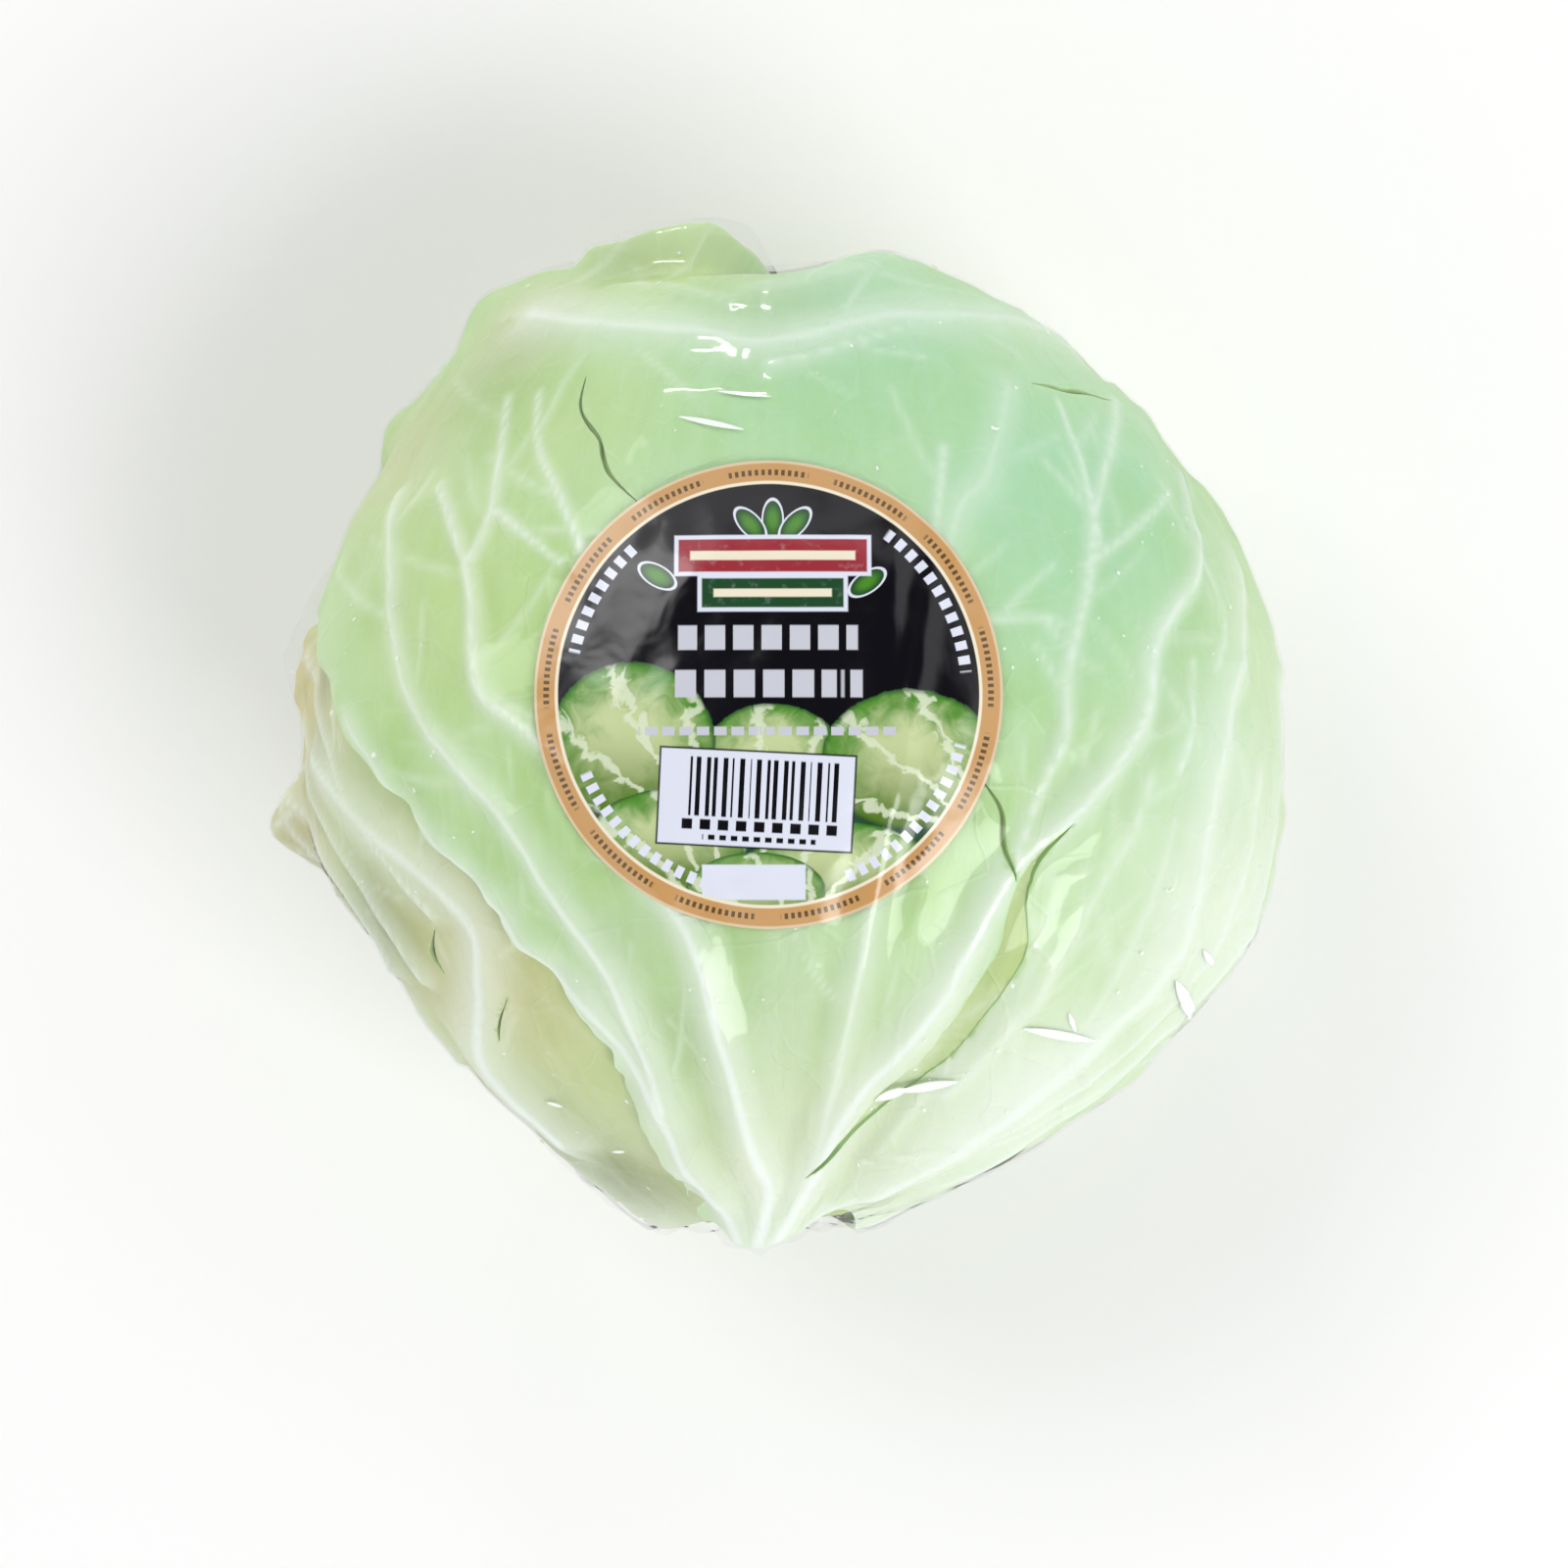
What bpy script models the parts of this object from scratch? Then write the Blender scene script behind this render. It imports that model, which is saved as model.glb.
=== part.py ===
"""A head of cabbage lying on its side, in stretched film with a round label on top.

The stem axis lies along Y with the cut stem at -Y, and the label faces +Z. Every surface is
a distance from the middle of the head in a direction given by two angles: tilt, from the
stem (0) over to the crown (180 degrees), and turn, round the stem axis from the top (0)
towards +X. Each leaf lies on those listed before it, and the film lies on them all.
Lengths are in metres, and the angles of the leaves are in degrees.
"""

from dataclasses import dataclass

import bmesh
import bpy
import numpy as np
from mathutils import Matrix, Vector

# The tight head inside the wrapper leaves.
HEAD_WIDTH = 0.149  # along X
HEAD_LENGTH = 0.153  # along the stem, Y
HEAD_DEPTH = 0.120  # along Z
HEAD_SQUARENESS = 2.1  # 2 is an ellipsoid, and more is squarer
STEM_RISE = 0.004  # how far the head swells towards the stem
STEM_RISE_REACH = 30.0  # degrees
STEM_LEAN = 0.0055  # how far the stem's end stands to the left of the middle

# The cut stem.
STEM_RADIUS = 0.015
STEM_LENGTH = 0.007
STEM_SEAT_DEPTH = 0.0025  # how deep its flat seat is sunk into the end of the head
STEM_BEVEL = 0.0012

# The wrapper leaves.
BLADE = 0.0012
RIB_RISE = 0.0036  # how far the midrib stands out at the stem
RIB_SPREAD = 0.012  # half the width of the midrib
LAYER_GAP = 0.0008
TIP_ROUNDING = 0.75  # 0 leaves the tip square, and 1 brings it to a point
DRAPE_FLAT = 8.0  # degrees past a margin that a leaf above stays level
DRAPE_FALL = 15.0  # degrees over which it then comes down

# The rolled margin of the front leaf at the crown.
ROLL_TILT = 168.0
ROLL_TURN = -55.0
ROLL_RISE = 0.0055
ROLL_REACH = 13.0

# The film and the label.
FILM = 0.0003
FILM_GAP = 0.0009
FILM_OPENING = 10.0  # degrees from the stem axis
LABEL_RADIUS = 0.035
LABEL = 0.00025
LABEL_GAP = 0.0006
LABEL_X = -0.0035
LABEL_Y = 0.0045

# The flat spot that it rests on is pressed this deep into the film's lowest point.
REST_PRESS = 0.0016

STEP = 0.0090  # longest side of a facet on the leaves
FILM_SEGMENTS = 44
FILM_RINGS = 26
HEAD_SEGMENTS = 32
HEAD_RINGS = 20
LABEL_SEGMENTS = 10
STEM_SEGMENTS = 24


@dataclass(frozen=True)
class Bulge:
    """A broad swelling of the whole head, or a hollow where the rise is negative."""

    tilt: float
    turn: float
    rise: float
    reach: float


@dataclass(frozen=True)
class Leaf:
    """A wrapper leaf; its outline is rows of tilt, width to the left and width to the right."""

    name: str
    heading: float  # the turn of its midrib
    outline: tuple
    colour: tuple


BULGES = (
    Bulge(tilt=88.0, turn=-92.0, rise=0.0030, reach=17.0),
    Bulge(tilt=146.0, turn=-92.0, rise=0.0060, reach=15.0),
    Bulge(tilt=66.0, turn=92.0, rise=0.0035, reach=26.0),
    Bulge(tilt=40.0, turn=-82.0, rise=-0.0040, reach=20.0),
)

LEAVES = (
    Leaf(
        name="under_leaf",
        heading=180.0,
        outline=(
            (11, 22, 22),
            (34, 52, 52),
            (60, 76, 76),
            (90, 88, 88),
            (120, 88, 88),
            (148, 70, 70),
        ),
        colour=(0.50, 0.66, 0.34),
    ),
    Leaf(
        name="lower_left_leaf",
        heading=-122.0,
        outline=(
            (11, 20, 20),
            (34, 26, 46),
            (60, 28, 58),
            (90, 26, 54),
            (118, 22, 42),
            (138, 12, 22),
        ),
        colour=(0.56, 0.60, 0.32),
    ),
    Leaf(
        name="right_leaf",
        heading=104.0,
        outline=(
            (11, 20, 20),
            (34, 45, 32),
            (60, 58, 40),
            (90, 58, 40),
            (115, 48, 36),
            (137, 26, 20),
        ),
        colour=(0.62, 0.74, 0.50),
    ),
    Leaf(
        name="left_leaf",
        heading=-70.0,
        outline=(
            (11, 20, 20),
            (30, 26, 46),
            (50, 32, 54),
            (70, 30, 44),
            (90, 27, 28),
            (110, 14, 10),
        ),
        colour=(0.60, 0.66, 0.42),
    ),
    Leaf(
        name="front_leaf",
        heading=0.0,
        outline=(
            (11, 22, 24),
            (34, 27, 60),
            (52, 32, 86),
            (70, 46, 98),
            (90, 66, 104),
            (108, 84, 106),
            (128, 100, 102),
            (148, 100, 92),
            (163, 76, 70),
        ),
        colour=(0.60, 0.77, 0.44),
    ),
)


def wrapped(turn):
    """A turn in radians brought to between -pi and pi."""
    return (turn + np.pi) % (2 * np.pi) - np.pi


def smooth(share):
    """0 below 0, 1 above 1, and an even slope change between."""
    share = np.clip(share, 0.0, 1.0)
    return share * share * (3.0 - 2.0 * share)


def directions(tilt, turn):
    """Unit vectors, one row for each pair of angles in radians."""
    across = np.sin(tilt)
    return np.stack([across * np.sin(turn), -np.cos(tilt), across * np.cos(turn)], axis=-1)


def angles(vectors):
    """The tilt and turn in radians of rows of unit vectors."""
    tilt = np.arccos(np.clip(-vectors[:, 1], -1.0, 1.0))
    return tilt, np.arctan2(vectors[:, 0], vectors[:, 2])


def near(tilt, turn, place_tilt, place_turn, reach):
    """1 at a place given in degrees, fading with the angle from it."""
    place = directions(np.radians(place_tilt), np.radians(place_turn))
    apart = np.arccos(np.clip(directions(tilt, turn) @ place, -1.0, 1.0))
    return np.exp(-((apart / np.radians(reach)) ** 2))


def head_radius(tilt, turn):
    """From the middle to the tight head, before its seat and its flat are pressed in."""
    sides = np.abs(directions(tilt, turn)) / (HEAD_WIDTH / 2, HEAD_LENGTH / 2, HEAD_DEPTH / 2)
    radius = (sides**HEAD_SQUARENESS).sum(axis=-1) ** (-1.0 / HEAD_SQUARENESS)
    radius = radius + STEM_RISE * np.exp(-((tilt / np.radians(STEM_RISE_REACH)) ** 2))
    for bulge in BULGES:
        radius = radius + bulge.rise * near(tilt, turn, bulge.tilt, bulge.turn, bulge.reach)
    return radius


def stem_seat():
    """From the middle of the head to the stem's inner end."""
    return HEAD_LENGTH / 2 + STEM_RISE - STEM_SEAT_DEPTH


def stem_end():
    """From the middle of the head to the cut."""
    return stem_seat() + STEM_LENGTH


def first_tilt():
    """Where the leaves' stalks meet the side of the stem."""
    return np.arctan2(STEM_RADIUS + LAYER_GAP, stem_seat())


def last_tilt(leaf):
    """Where a leaf's tip is."""
    return np.radians(leaf.outline[-1][0])


def half_widths(leaf, tilt):
    """The leaf's widths to the left and to the right of its midrib, as turns in radians."""
    rows = np.radians(np.array(leaf.outline, float))
    at = np.clip(tilt, rows[0, 0], rows[-1, 0])
    step = np.clip(np.searchsorted(rows[:, 0], at) - 1, 0, len(rows) - 2)
    share = (at - rows[step, 0]) / (rows[step + 1, 0] - rows[step, 0])
    slopes = np.gradient(rows, axis=0)
    basis = (
        2 * share**3 - 3 * share**2 + 1,
        share**3 - 2 * share**2 + share,
        3 * share**2 - 2 * share**3,
        share**3 - share**2,
    )
    return tuple(
        basis[0] * rows[step, side]
        + basis[1] * slopes[step, side]
        + basis[2] * rows[step + 1, side]
        + basis[3] * slopes[step + 1, side]
        for side in (1, 2)
    )


def cover(leaf, tilt, turn):
    """1 over a leaf and just past its margin, falling to 0 where it no longer holds things up."""
    aside = wrapped(turn - np.radians(leaf.heading))
    past = []
    for sign, side in ((-1.0, 0), (1.0, 1)):
        width = half_widths(leaf, tilt)[side]
        slope = (half_widths(leaf, tilt + 0.02)[side] - width) / 0.02
        past.append((sign * aside - width) / np.sqrt(1.0 + (np.sin(tilt) * slope) ** 2))
    past = np.maximum.reduce([*past, tilt - last_tilt(leaf), first_tilt() - tilt])
    return 1.0 - smooth((past - np.radians(DRAPE_FLAT)) / np.radians(DRAPE_FALL))


def thickness(leaf, tilt, turn):
    """The blade, thickened along the midrib towards the stem and at the front leaf's roll."""
    aside = wrapped(turn - np.radians(leaf.heading)) * np.sin(tilt) * HEAD_WIDTH / 2
    along = (tilt - first_tilt()) / (last_tilt(leaf) - first_tilt())
    fade = (1.0 - np.clip(along, 0.0, 1.0)) ** 2
    thick = BLADE + RIB_RISE * fade * np.exp(-((aside / RIB_SPREAD) ** 2))
    if leaf is LEAVES[-1]:
        thick = thick + ROLL_RISE * near(tilt, turn, ROLL_TILT, ROLL_TURN, ROLL_REACH)
    return thick


def stack(tilt, turn, below):
    """The height of the given leaves, with the gap over each."""
    return sum(
        (cover(leaf, tilt, turn) * (thickness(leaf, tilt, turn) + LAYER_GAP) for leaf in below),
        start=np.zeros(np.shape(tilt)),
    )


def rest_depth():
    """From the middle of the head down to the plane that it rests on."""
    down = np.array([np.pi / 2]), np.array([np.pi])
    whole = head_radius(*down) + LAYER_GAP + stack(*down, LEAVES) + FILM_GAP + FILM
    return whole[0] - REST_PRESS


def pressed(radius, tilt, turn, inside):
    """The radius kept above a plane that lies this far inside the resting plane."""
    down = np.maximum(-directions(tilt, turn)[:, 2], 1e-6)
    return np.minimum(radius, (rest_depth() - inside) / down)


def under_film(radius, tilt, turn, inside):
    """A surface that is pressed flat below the film."""
    return pressed(radius, tilt, turn, FILM + FILM_GAP + inside)


def film_radius(tilt, turn, outward=0.0):
    """The film's inner surface, or one this far outside it."""
    radius = head_radius(tilt, turn) + LAYER_GAP + stack(tilt, turn, LEAVES) + FILM_GAP + outward
    return pressed(radius, tilt, turn, FILM - outward)


def placed(radius, vectors):
    """Points at these distances in these directions, leaned over towards the stem's end."""
    points = vectors * radius[:, None]
    points[:, 0] -= STEM_LEAN * (np.minimum(points[:, 1], 0.0) / stem_end()) ** 2
    return points


def finish(name, mesh, colour, roughness=0.45, alpha=1.0):
    """Makes an object of a closed bmesh, in its own material."""
    bmesh.ops.recalc_face_normals(mesh, faces=mesh.faces)
    if mesh.calc_volume(signed=True) < 0.0:
        bmesh.ops.reverse_faces(mesh, faces=mesh.faces)
    data = bpy.data.meshes.new(name)
    mesh.to_mesh(data)
    mesh.free()
    data.shade_smooth()
    data.set_sharp_from_angle(angle=np.radians(40.0))
    material = bpy.data.materials.new(name + "_finish")
    material.use_nodes = True
    shader = material.node_tree.nodes["Principled BSDF"]
    shader.inputs["Base Color"].default_value = (*colour, 1.0)
    shader.inputs["Roughness"].default_value = roughness
    shader.inputs["Metallic"].default_value = 0.0
    shader.inputs["Alpha"].default_value = alpha
    data.materials.append(material)
    made = bpy.data.objects.new(name, data)
    bpy.context.scene.collection.objects.link(made)
    return made


def move(verts, points):
    """Puts each vertex at its point."""
    for vert, point in zip(verts, points):
        vert.co = point


def doubled(mesh):
    """Closes an open sheet with a reversed copy; the vertices of the sheet and of the copy."""
    outer = list(mesh.verts)
    copies = bmesh.ops.duplicate(mesh, geom=mesh.verts[:] + mesh.edges[:] + mesh.faces[:])
    inner = [copies["vert_map"][vert] for vert in outer]
    faces = [item for item in copies["geom"] if isinstance(item, bmesh.types.BMFace)]
    bmesh.ops.reverse_faces(mesh, faces=faces)
    bmesh.ops.bridge_loops(mesh, edges=[edge for edge in mesh.edges if edge.is_boundary])
    return outer, inner


def ball(segments, rings):
    """A unit sphere with its poles at the stem and the crown."""
    mesh = bmesh.new()
    laid = Matrix.Rotation(np.pi / 2, 4, "X")
    bmesh.ops.create_uvsphere(mesh, u_segments=segments, v_segments=rings, radius=1.0, matrix=laid)
    return mesh


def make_head():
    """The tight head, with a seat for the stem and pressed flat underneath."""
    mesh = ball(HEAD_SEGMENTS, HEAD_RINGS)
    vectors = np.array([vert.co.normalized() for vert in mesh.verts])
    tilt, turn = angles(vectors)
    radius = head_radius(tilt, turn)
    radius = np.minimum(radius, stem_seat() / np.maximum(-vectors[:, 1], 1e-6))
    radius = under_film(radius, tilt, turn, BLADE + LAYER_GAP)
    move(mesh.verts, placed(radius, vectors))
    return finish("head", mesh, (0.66, 0.78, 0.42))


def make_stem():
    """The stump, from its seat on the head out to the cut."""
    mesh = bmesh.new()
    middle = (stem_seat() + LAYER_GAP + stem_end()) / 2
    bmesh.ops.create_cone(
        mesh,
        cap_ends=True,
        segments=STEM_SEGMENTS,
        radius1=STEM_RADIUS,
        radius2=STEM_RADIUS,
        depth=STEM_LENGTH - LAYER_GAP,
        matrix=Matrix.Translation(Vector((0.0, -middle, 0.0))) @ Matrix.Rotation(np.pi / 2, 4, "X"),
    )
    rim = [edge for edge in mesh.edges if all(vert.co.y < -middle for vert in edge.verts)]
    bmesh.ops.bevel(mesh, geom=rim, offset=STEM_BEVEL, segments=2, profile=0.6, affect="EDGES")
    for vert in mesh.verts:
        vert.co.x -= STEM_LEAN * (vert.co.y / stem_end()) ** 2
    return finish("cut_stem", mesh, (0.78, 0.80, 0.62), roughness=0.7)


def make_leaf(number):
    """A leaf as a closed curved sheet, lying on those before it."""
    leaf = LEAVES[number]
    start, end = first_tilt(), last_tilt(leaf)
    reach = (end - start) * HEAD_LENGTH / 2
    widest = max(left + right for _, left, right in leaf.outline)
    rows = int(np.ceil(reach / STEP))
    columns = int(np.ceil(np.radians(widest) * HEAD_WIDTH / 2 / STEP))
    mesh = bmesh.new()
    bmesh.ops.create_grid(mesh, x_segments=columns, y_segments=rows, size=1.0)
    outer, inner = doubled(mesh)
    across, along = np.array([vert.co[:2] for vert in outer]).T
    along = (along + 1.0) / 2.0
    tilt = start + (end - start) * along
    rounding = np.sqrt(1.0 - TIP_ROUNDING * along**8)
    left, right = half_widths(leaf, tilt)
    turn = np.radians(leaf.heading) + across * np.where(across < 0.0, left, right) * rounding
    vectors = directions(tilt, turn)
    lower = head_radius(tilt, turn) + LAYER_GAP + stack(tilt, turn, LEAVES[:number])
    upper = lower + thickness(leaf, tilt, turn)
    move(outer, placed(under_film(upper, tilt, turn, 0.0), vectors))
    move(inner, placed(under_film(lower, tilt, turn, BLADE), vectors))
    return finish(leaf.name, mesh, leaf.colour)


def make_film():
    """The stretched film, open round the stem where it was gathered."""
    mesh = ball(FILM_SEGMENTS, FILM_RINGS)
    opening = -np.cos(np.radians(FILM_OPENING))
    cap = [vert for vert in mesh.verts if vert.co.normalized().y < opening]
    bmesh.ops.delete(mesh, geom=cap, context="VERTS")
    outer, inner = doubled(mesh)
    vectors = np.array([vert.co.normalized() for vert in outer])
    tilt, turn = angles(vectors)
    move(outer, placed(film_radius(tilt, turn, outward=FILM), vectors))
    move(inner, placed(film_radius(tilt, turn), vectors))
    return finish("cling_film", mesh, (0.93, 0.96, 0.94), roughness=0.08, alpha=0.25)


def label_points(xy, lift):
    """Points above the film at these places seen from the top."""
    height = np.full(len(xy), HEAD_DEPTH / 2)
    for _ in range(6):
        vectors = np.column_stack([xy, height])
        vectors /= np.linalg.norm(vectors, axis=1)[:, None]
        radius = film_radius(*angles(vectors), outward=FILM + lift)
        height = np.sqrt(radius**2 - (xy**2).sum(axis=1))
    return np.column_stack([xy, height])


def make_label():
    """The round label on the film."""
    mesh = bmesh.new()
    bmesh.ops.create_grid(mesh, x_segments=LABEL_SEGMENTS, y_segments=LABEL_SEGMENTS, size=1.0)
    outer, inner = doubled(mesh)
    square = np.array([vert.co[:2] for vert in outer])
    disc = square * np.sqrt(1.0 - square[:, ::-1] ** 2 / 2.0)
    xy = disc * LABEL_RADIUS + (LABEL_X, LABEL_Y)
    move(outer, label_points(xy, LABEL_GAP + LABEL))
    move(inner, label_points(xy, LABEL_GAP))
    return finish("label", mesh, (0.03, 0.035, 0.06), roughness=0.25)


def set_down(pieces):
    """Brings the origin to the middle of the underside of them all."""
    corners = np.concatenate([[vert.co[:] for vert in piece.data.vertices] for piece in pieces])
    low, high = corners.min(axis=0), corners.max(axis=0)
    for piece in pieces:
        piece.location = (-(low[0] + high[0]) / 2, -(low[1] + high[1]) / 2, -low[2])


def main():
    """Clears the scene and makes every piece."""
    for old in list(bpy.data.objects):
        bpy.data.objects.remove(old, do_unlink=True)
    leaves = [make_leaf(number) for number in range(len(LEAVES))]
    set_down([make_head(), make_stem(), *leaves, make_film(), make_label()])


main()
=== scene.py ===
"""The looks of a cabbage head in stretched film, with a round label on top.

The head lies on its side: its stem axis runs along Y with the cut stem at -Y, and the label
faces +Z. Every leaf surface is a distance from the middle of the head in a direction given by
two angles: tilt, from the stem (0) over to the crown (180 degrees), and turn, round the stem
axis from the top (0) towards +X. Each leaf lies on those before it and is lifted by their
ribs, and the film is stretched over them all. Lengths are in metres, the angles that describe
a leaf are in degrees, and the angles that functions work with are in radians.
"""

import logging
from dataclasses import dataclass
from enum import Enum

import bmesh
import bpy
import numpy as np
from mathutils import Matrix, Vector
from mathutils.bvhtree import BVHTree

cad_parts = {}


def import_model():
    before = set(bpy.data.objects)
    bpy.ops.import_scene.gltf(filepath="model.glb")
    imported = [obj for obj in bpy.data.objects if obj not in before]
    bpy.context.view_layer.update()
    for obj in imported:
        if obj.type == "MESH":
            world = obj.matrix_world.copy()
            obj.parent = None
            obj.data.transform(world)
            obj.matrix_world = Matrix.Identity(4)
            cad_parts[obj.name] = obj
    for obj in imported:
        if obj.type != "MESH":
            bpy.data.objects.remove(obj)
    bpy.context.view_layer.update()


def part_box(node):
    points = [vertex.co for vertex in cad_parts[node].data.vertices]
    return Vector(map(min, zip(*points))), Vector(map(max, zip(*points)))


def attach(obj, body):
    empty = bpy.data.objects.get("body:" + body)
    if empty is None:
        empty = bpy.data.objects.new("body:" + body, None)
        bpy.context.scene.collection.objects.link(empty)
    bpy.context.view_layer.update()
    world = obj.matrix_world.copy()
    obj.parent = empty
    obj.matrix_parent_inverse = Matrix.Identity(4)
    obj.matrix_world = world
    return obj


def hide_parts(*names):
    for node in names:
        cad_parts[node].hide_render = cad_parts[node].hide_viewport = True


LOG = logging.getLogger("cabbage")
MIDDLE_RADIUS = 0.078  # the head's mean radius, which turns an angle into a length on it


# ---------------------------------------------------------------- directions


def wrapped(turn: np.ndarray) -> np.ndarray:
    """A turn in radians, brought to between -pi and pi."""
    return (turn + np.pi) % (2.0 * np.pi) - np.pi


def smooth(share: np.ndarray) -> np.ndarray:
    """0 below 0, 1 above 1, and an even slope change between."""
    share = np.clip(share, 0.0, 1.0)
    return share * share * (3.0 - 2.0 * share)


def directions(tilt: np.ndarray, turn: np.ndarray) -> np.ndarray:
    """Unit vectors for angles in radians.

    Args:
        tilt: Angles from the stem axis.
        turn: Angles round it.

    Returns:
        One row of x, y, z for each pair.
    """
    across = np.sin(tilt)
    return np.stack([across * np.sin(turn), -np.cos(tilt), across * np.cos(turn)], axis=-1)


def angles(vectors: np.ndarray) -> tuple[np.ndarray, np.ndarray]:
    """The tilt and turn in radians of rows of unit vectors."""
    tilt = np.arccos(np.clip(-vectors[:, 1], -1.0, 1.0))
    return tilt, np.arctan2(vectors[:, 0], vectors[:, 2])


def toward(tilt: float, turn: float) -> np.ndarray:
    """One unit vector for a tilt and a turn in degrees."""
    return directions(np.radians(tilt), np.radians(turn))


def rolling(vectors: np.ndarray, length: float, seed: int, waves: int = 14) -> np.ndarray:
    """An even random swell over the head.

    Args:
        vectors: Unit vectors.
        length: The mean length of a wave on the head.
        seed: Chooses the swell.
        waves: How many plane waves are added up.

    Returns:
        A value for each vector, mostly between -1 and 1.
    """
    random = np.random.default_rng(seed)
    total = np.zeros(len(vectors))
    for _ in range(waves):
        heading = random.normal(size=3)
        heading *= 2.0 * np.pi * MIDDLE_RADIUS / (length * np.linalg.norm(heading))
        heading *= random.uniform(0.7, 1.4)
        total += np.sin(vectors @ heading + random.uniform(0.0, 2.0 * np.pi))
    return total / np.sqrt(waves)


class Trail:
    """A smooth line over the head through a few places."""

    STEPS = 5

    def __init__(self, places: tuple) -> None:
        """Takes rows of tilt and turn in degrees, in order along the line."""
        given = np.array([toward(*place) for place in places])
        padded = np.vstack([2 * given[0] - given[1], given, 2 * given[-1] - given[-2]])
        rows = []
        for first in range(len(given) - 1):
            before, start, end, after = padded[first : first + 4]
            for step in range(self.STEPS):
                share = step / self.STEPS
                rows.append(
                    start
                    + share * (end - before) / 2
                    + share**2 * (before - 2.5 * start + 2 * end - after / 2)
                    + share**3 * (1.5 * (start - end) + (after - before) / 2)
                )
        rows.append(given[-1])
        line = np.array(rows)
        self.line = line / np.linalg.norm(line, axis=1)[:, None]
        lengths = np.linalg.norm(np.diff(self.line, axis=0), axis=1)
        self.shares = np.concatenate([[0.0], np.cumsum(lengths)]) / lengths.sum()
        middle = self.line.mean(axis=0)
        self.middle = middle / np.linalg.norm(middle)
        self.reach = np.linalg.norm(self.line - self.middle, axis=1).max()

    def nearest(self, vectors: np.ndarray, within: float) -> tuple[np.ndarray, ...]:
        """How far vectors are from the line.

        Args:
            vectors: Unit vectors.
            within: The distance in metres past which it doesn't matter.

        Returns:
            The indices of the vectors within that distance, how far each is in metres (less
            than 0 on the line's left) and how far along the line it is, from 0 to 1.
        """
        apart = np.linalg.norm(vectors - self.middle, axis=1)
        close = np.nonzero(apart < self.reach + within / MIDDLE_RADIUS)[0]
        points = vectors[close]
        best = np.full(len(close), np.inf)
        side = np.ones(len(close))
        share = np.zeros(len(close))
        for number in range(len(self.line) - 1):
            start, end = self.line[number], self.line[number + 1]
            along = end - start
            step = np.clip((points - start) @ along / (along @ along), 0.0, 1.0)
            offset = points - start - step[:, None] * along
            distance = np.linalg.norm(offset, axis=1)
            nearer = distance < best
            best = np.where(nearer, distance, best)
            side = np.where(nearer, np.sign(offset @ np.cross(along, start)), side)
            at = self.shares[number] + step * (self.shares[number + 1] - self.shares[number])
            share = np.where(nearer, at, share)
        best *= MIDDLE_RADIUS
        kept = best < within
        return close[kept], (best * np.where(side == 0, 1.0, side))[kept], share[kept]


# ---------------------------------------------------------------- what a leaf is described by


@dataclass(frozen=True)
class Vein:
    """A rib or a vein, from its thick end to its thin one."""

    places: tuple
    width: float = 0.0012  # half its width at the thick end
    thin: float = 0.0006  # and at the thin end
    rise: float = 0.0006
    pale: float = 0.8
    one_sided: float = 0.0  # how far it falls off more slowly on its left

    FURROW = 0.22  # how deep the furrow beside it is, as a share of its rise
    BESIDE = 2.1  # how far off that furrow is, in half widths
    UNDER_LEAF = 0.55  # the share of a rib's height that lifts the leaf on it

    def add_to(self, vectors: np.ndarray, height: np.ndarray, pale: np.ndarray) -> None:
        """Raises the height and the paleness near the vein; where two veins meet, the higher counts.

        Args:
            vectors: Unit vectors.
            height: Raised, in metres.
            pale: Raised to at most 1.
        """
        reach = 4.0 * max(self.width, self.thin) * (1.0 + self.one_sided)
        index, distance, share = Trail(self.places).nearest(vectors, reach)
        half = self.width + (self.thin - self.width) * share
        half = half * np.where(distance < 0.0, 1.0 + self.one_sided, 1.0)
        distance = np.abs(distance)
        ends = 0.35 + 0.65 * (1.0 - share)
        profile = np.exp(-((distance / half) ** 2))
        furrow = self.FURROW * np.exp(-(((distance - self.BESIDE * half) / half) ** 2))
        beside = height[index] - self.rise * ends * furrow
        ridge = self.rise * ends * profile
        height[index] = beside + np.maximum(ridge - np.maximum(beside, 0.0), 0.0)
        soft = 0.62 * np.exp(-((distance / (1.5 * half)) ** 2))
        core = np.exp(-((distance / np.maximum(0.42 * half, 0.0006)) ** 2))
        soft = np.maximum(soft, core) * self.pale * (0.55 + 0.45 * ends)
        pale[index] = np.maximum(pale[index], soft)


@dataclass(frozen=True)
class Swell:
    """A place where a surface stands out, or lies deeper where the rise is negative."""

    tilt: float
    turn: float
    rise: float
    reach: float  # degrees

    def at(self, vectors: np.ndarray) -> np.ndarray:
        """The rise at rows of unit vectors."""
        apart = np.arccos(np.clip(vectors @ toward(self.tilt, self.turn), -1.0, 1.0))
        return self.rise * np.exp(-((apart / np.radians(self.reach)) ** 2))


class Tint(Enum):
    """What a patch on a leaf turns towards: mostly the leaf's own stains, and in a few places painted
    shade.
    """

    MINT = "mint"
    YELLOW = "yellow"
    PALE = "pale"
    TAN = "tan"
    DEEP = "deep"


@dataclass(frozen=True)
class StainAndShade:
    """A soft patch of another colour: mostly a stain of the leaf, in a few places painted shade."""

    tint: Tint
    tilt: float
    turn: float
    reach: float
    share: float = 1.0


@dataclass(frozen=True)
class Tear:
    """A split through a leaf, as its two lips from end to end."""

    left: tuple
    right: tuple
    lip: float = 0.0005  # how far its left lip is lifted
    sink: float = 0.0  # and how far the right one lies deeper


# ---------------------------------------------------------------- the head's shape


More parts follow.
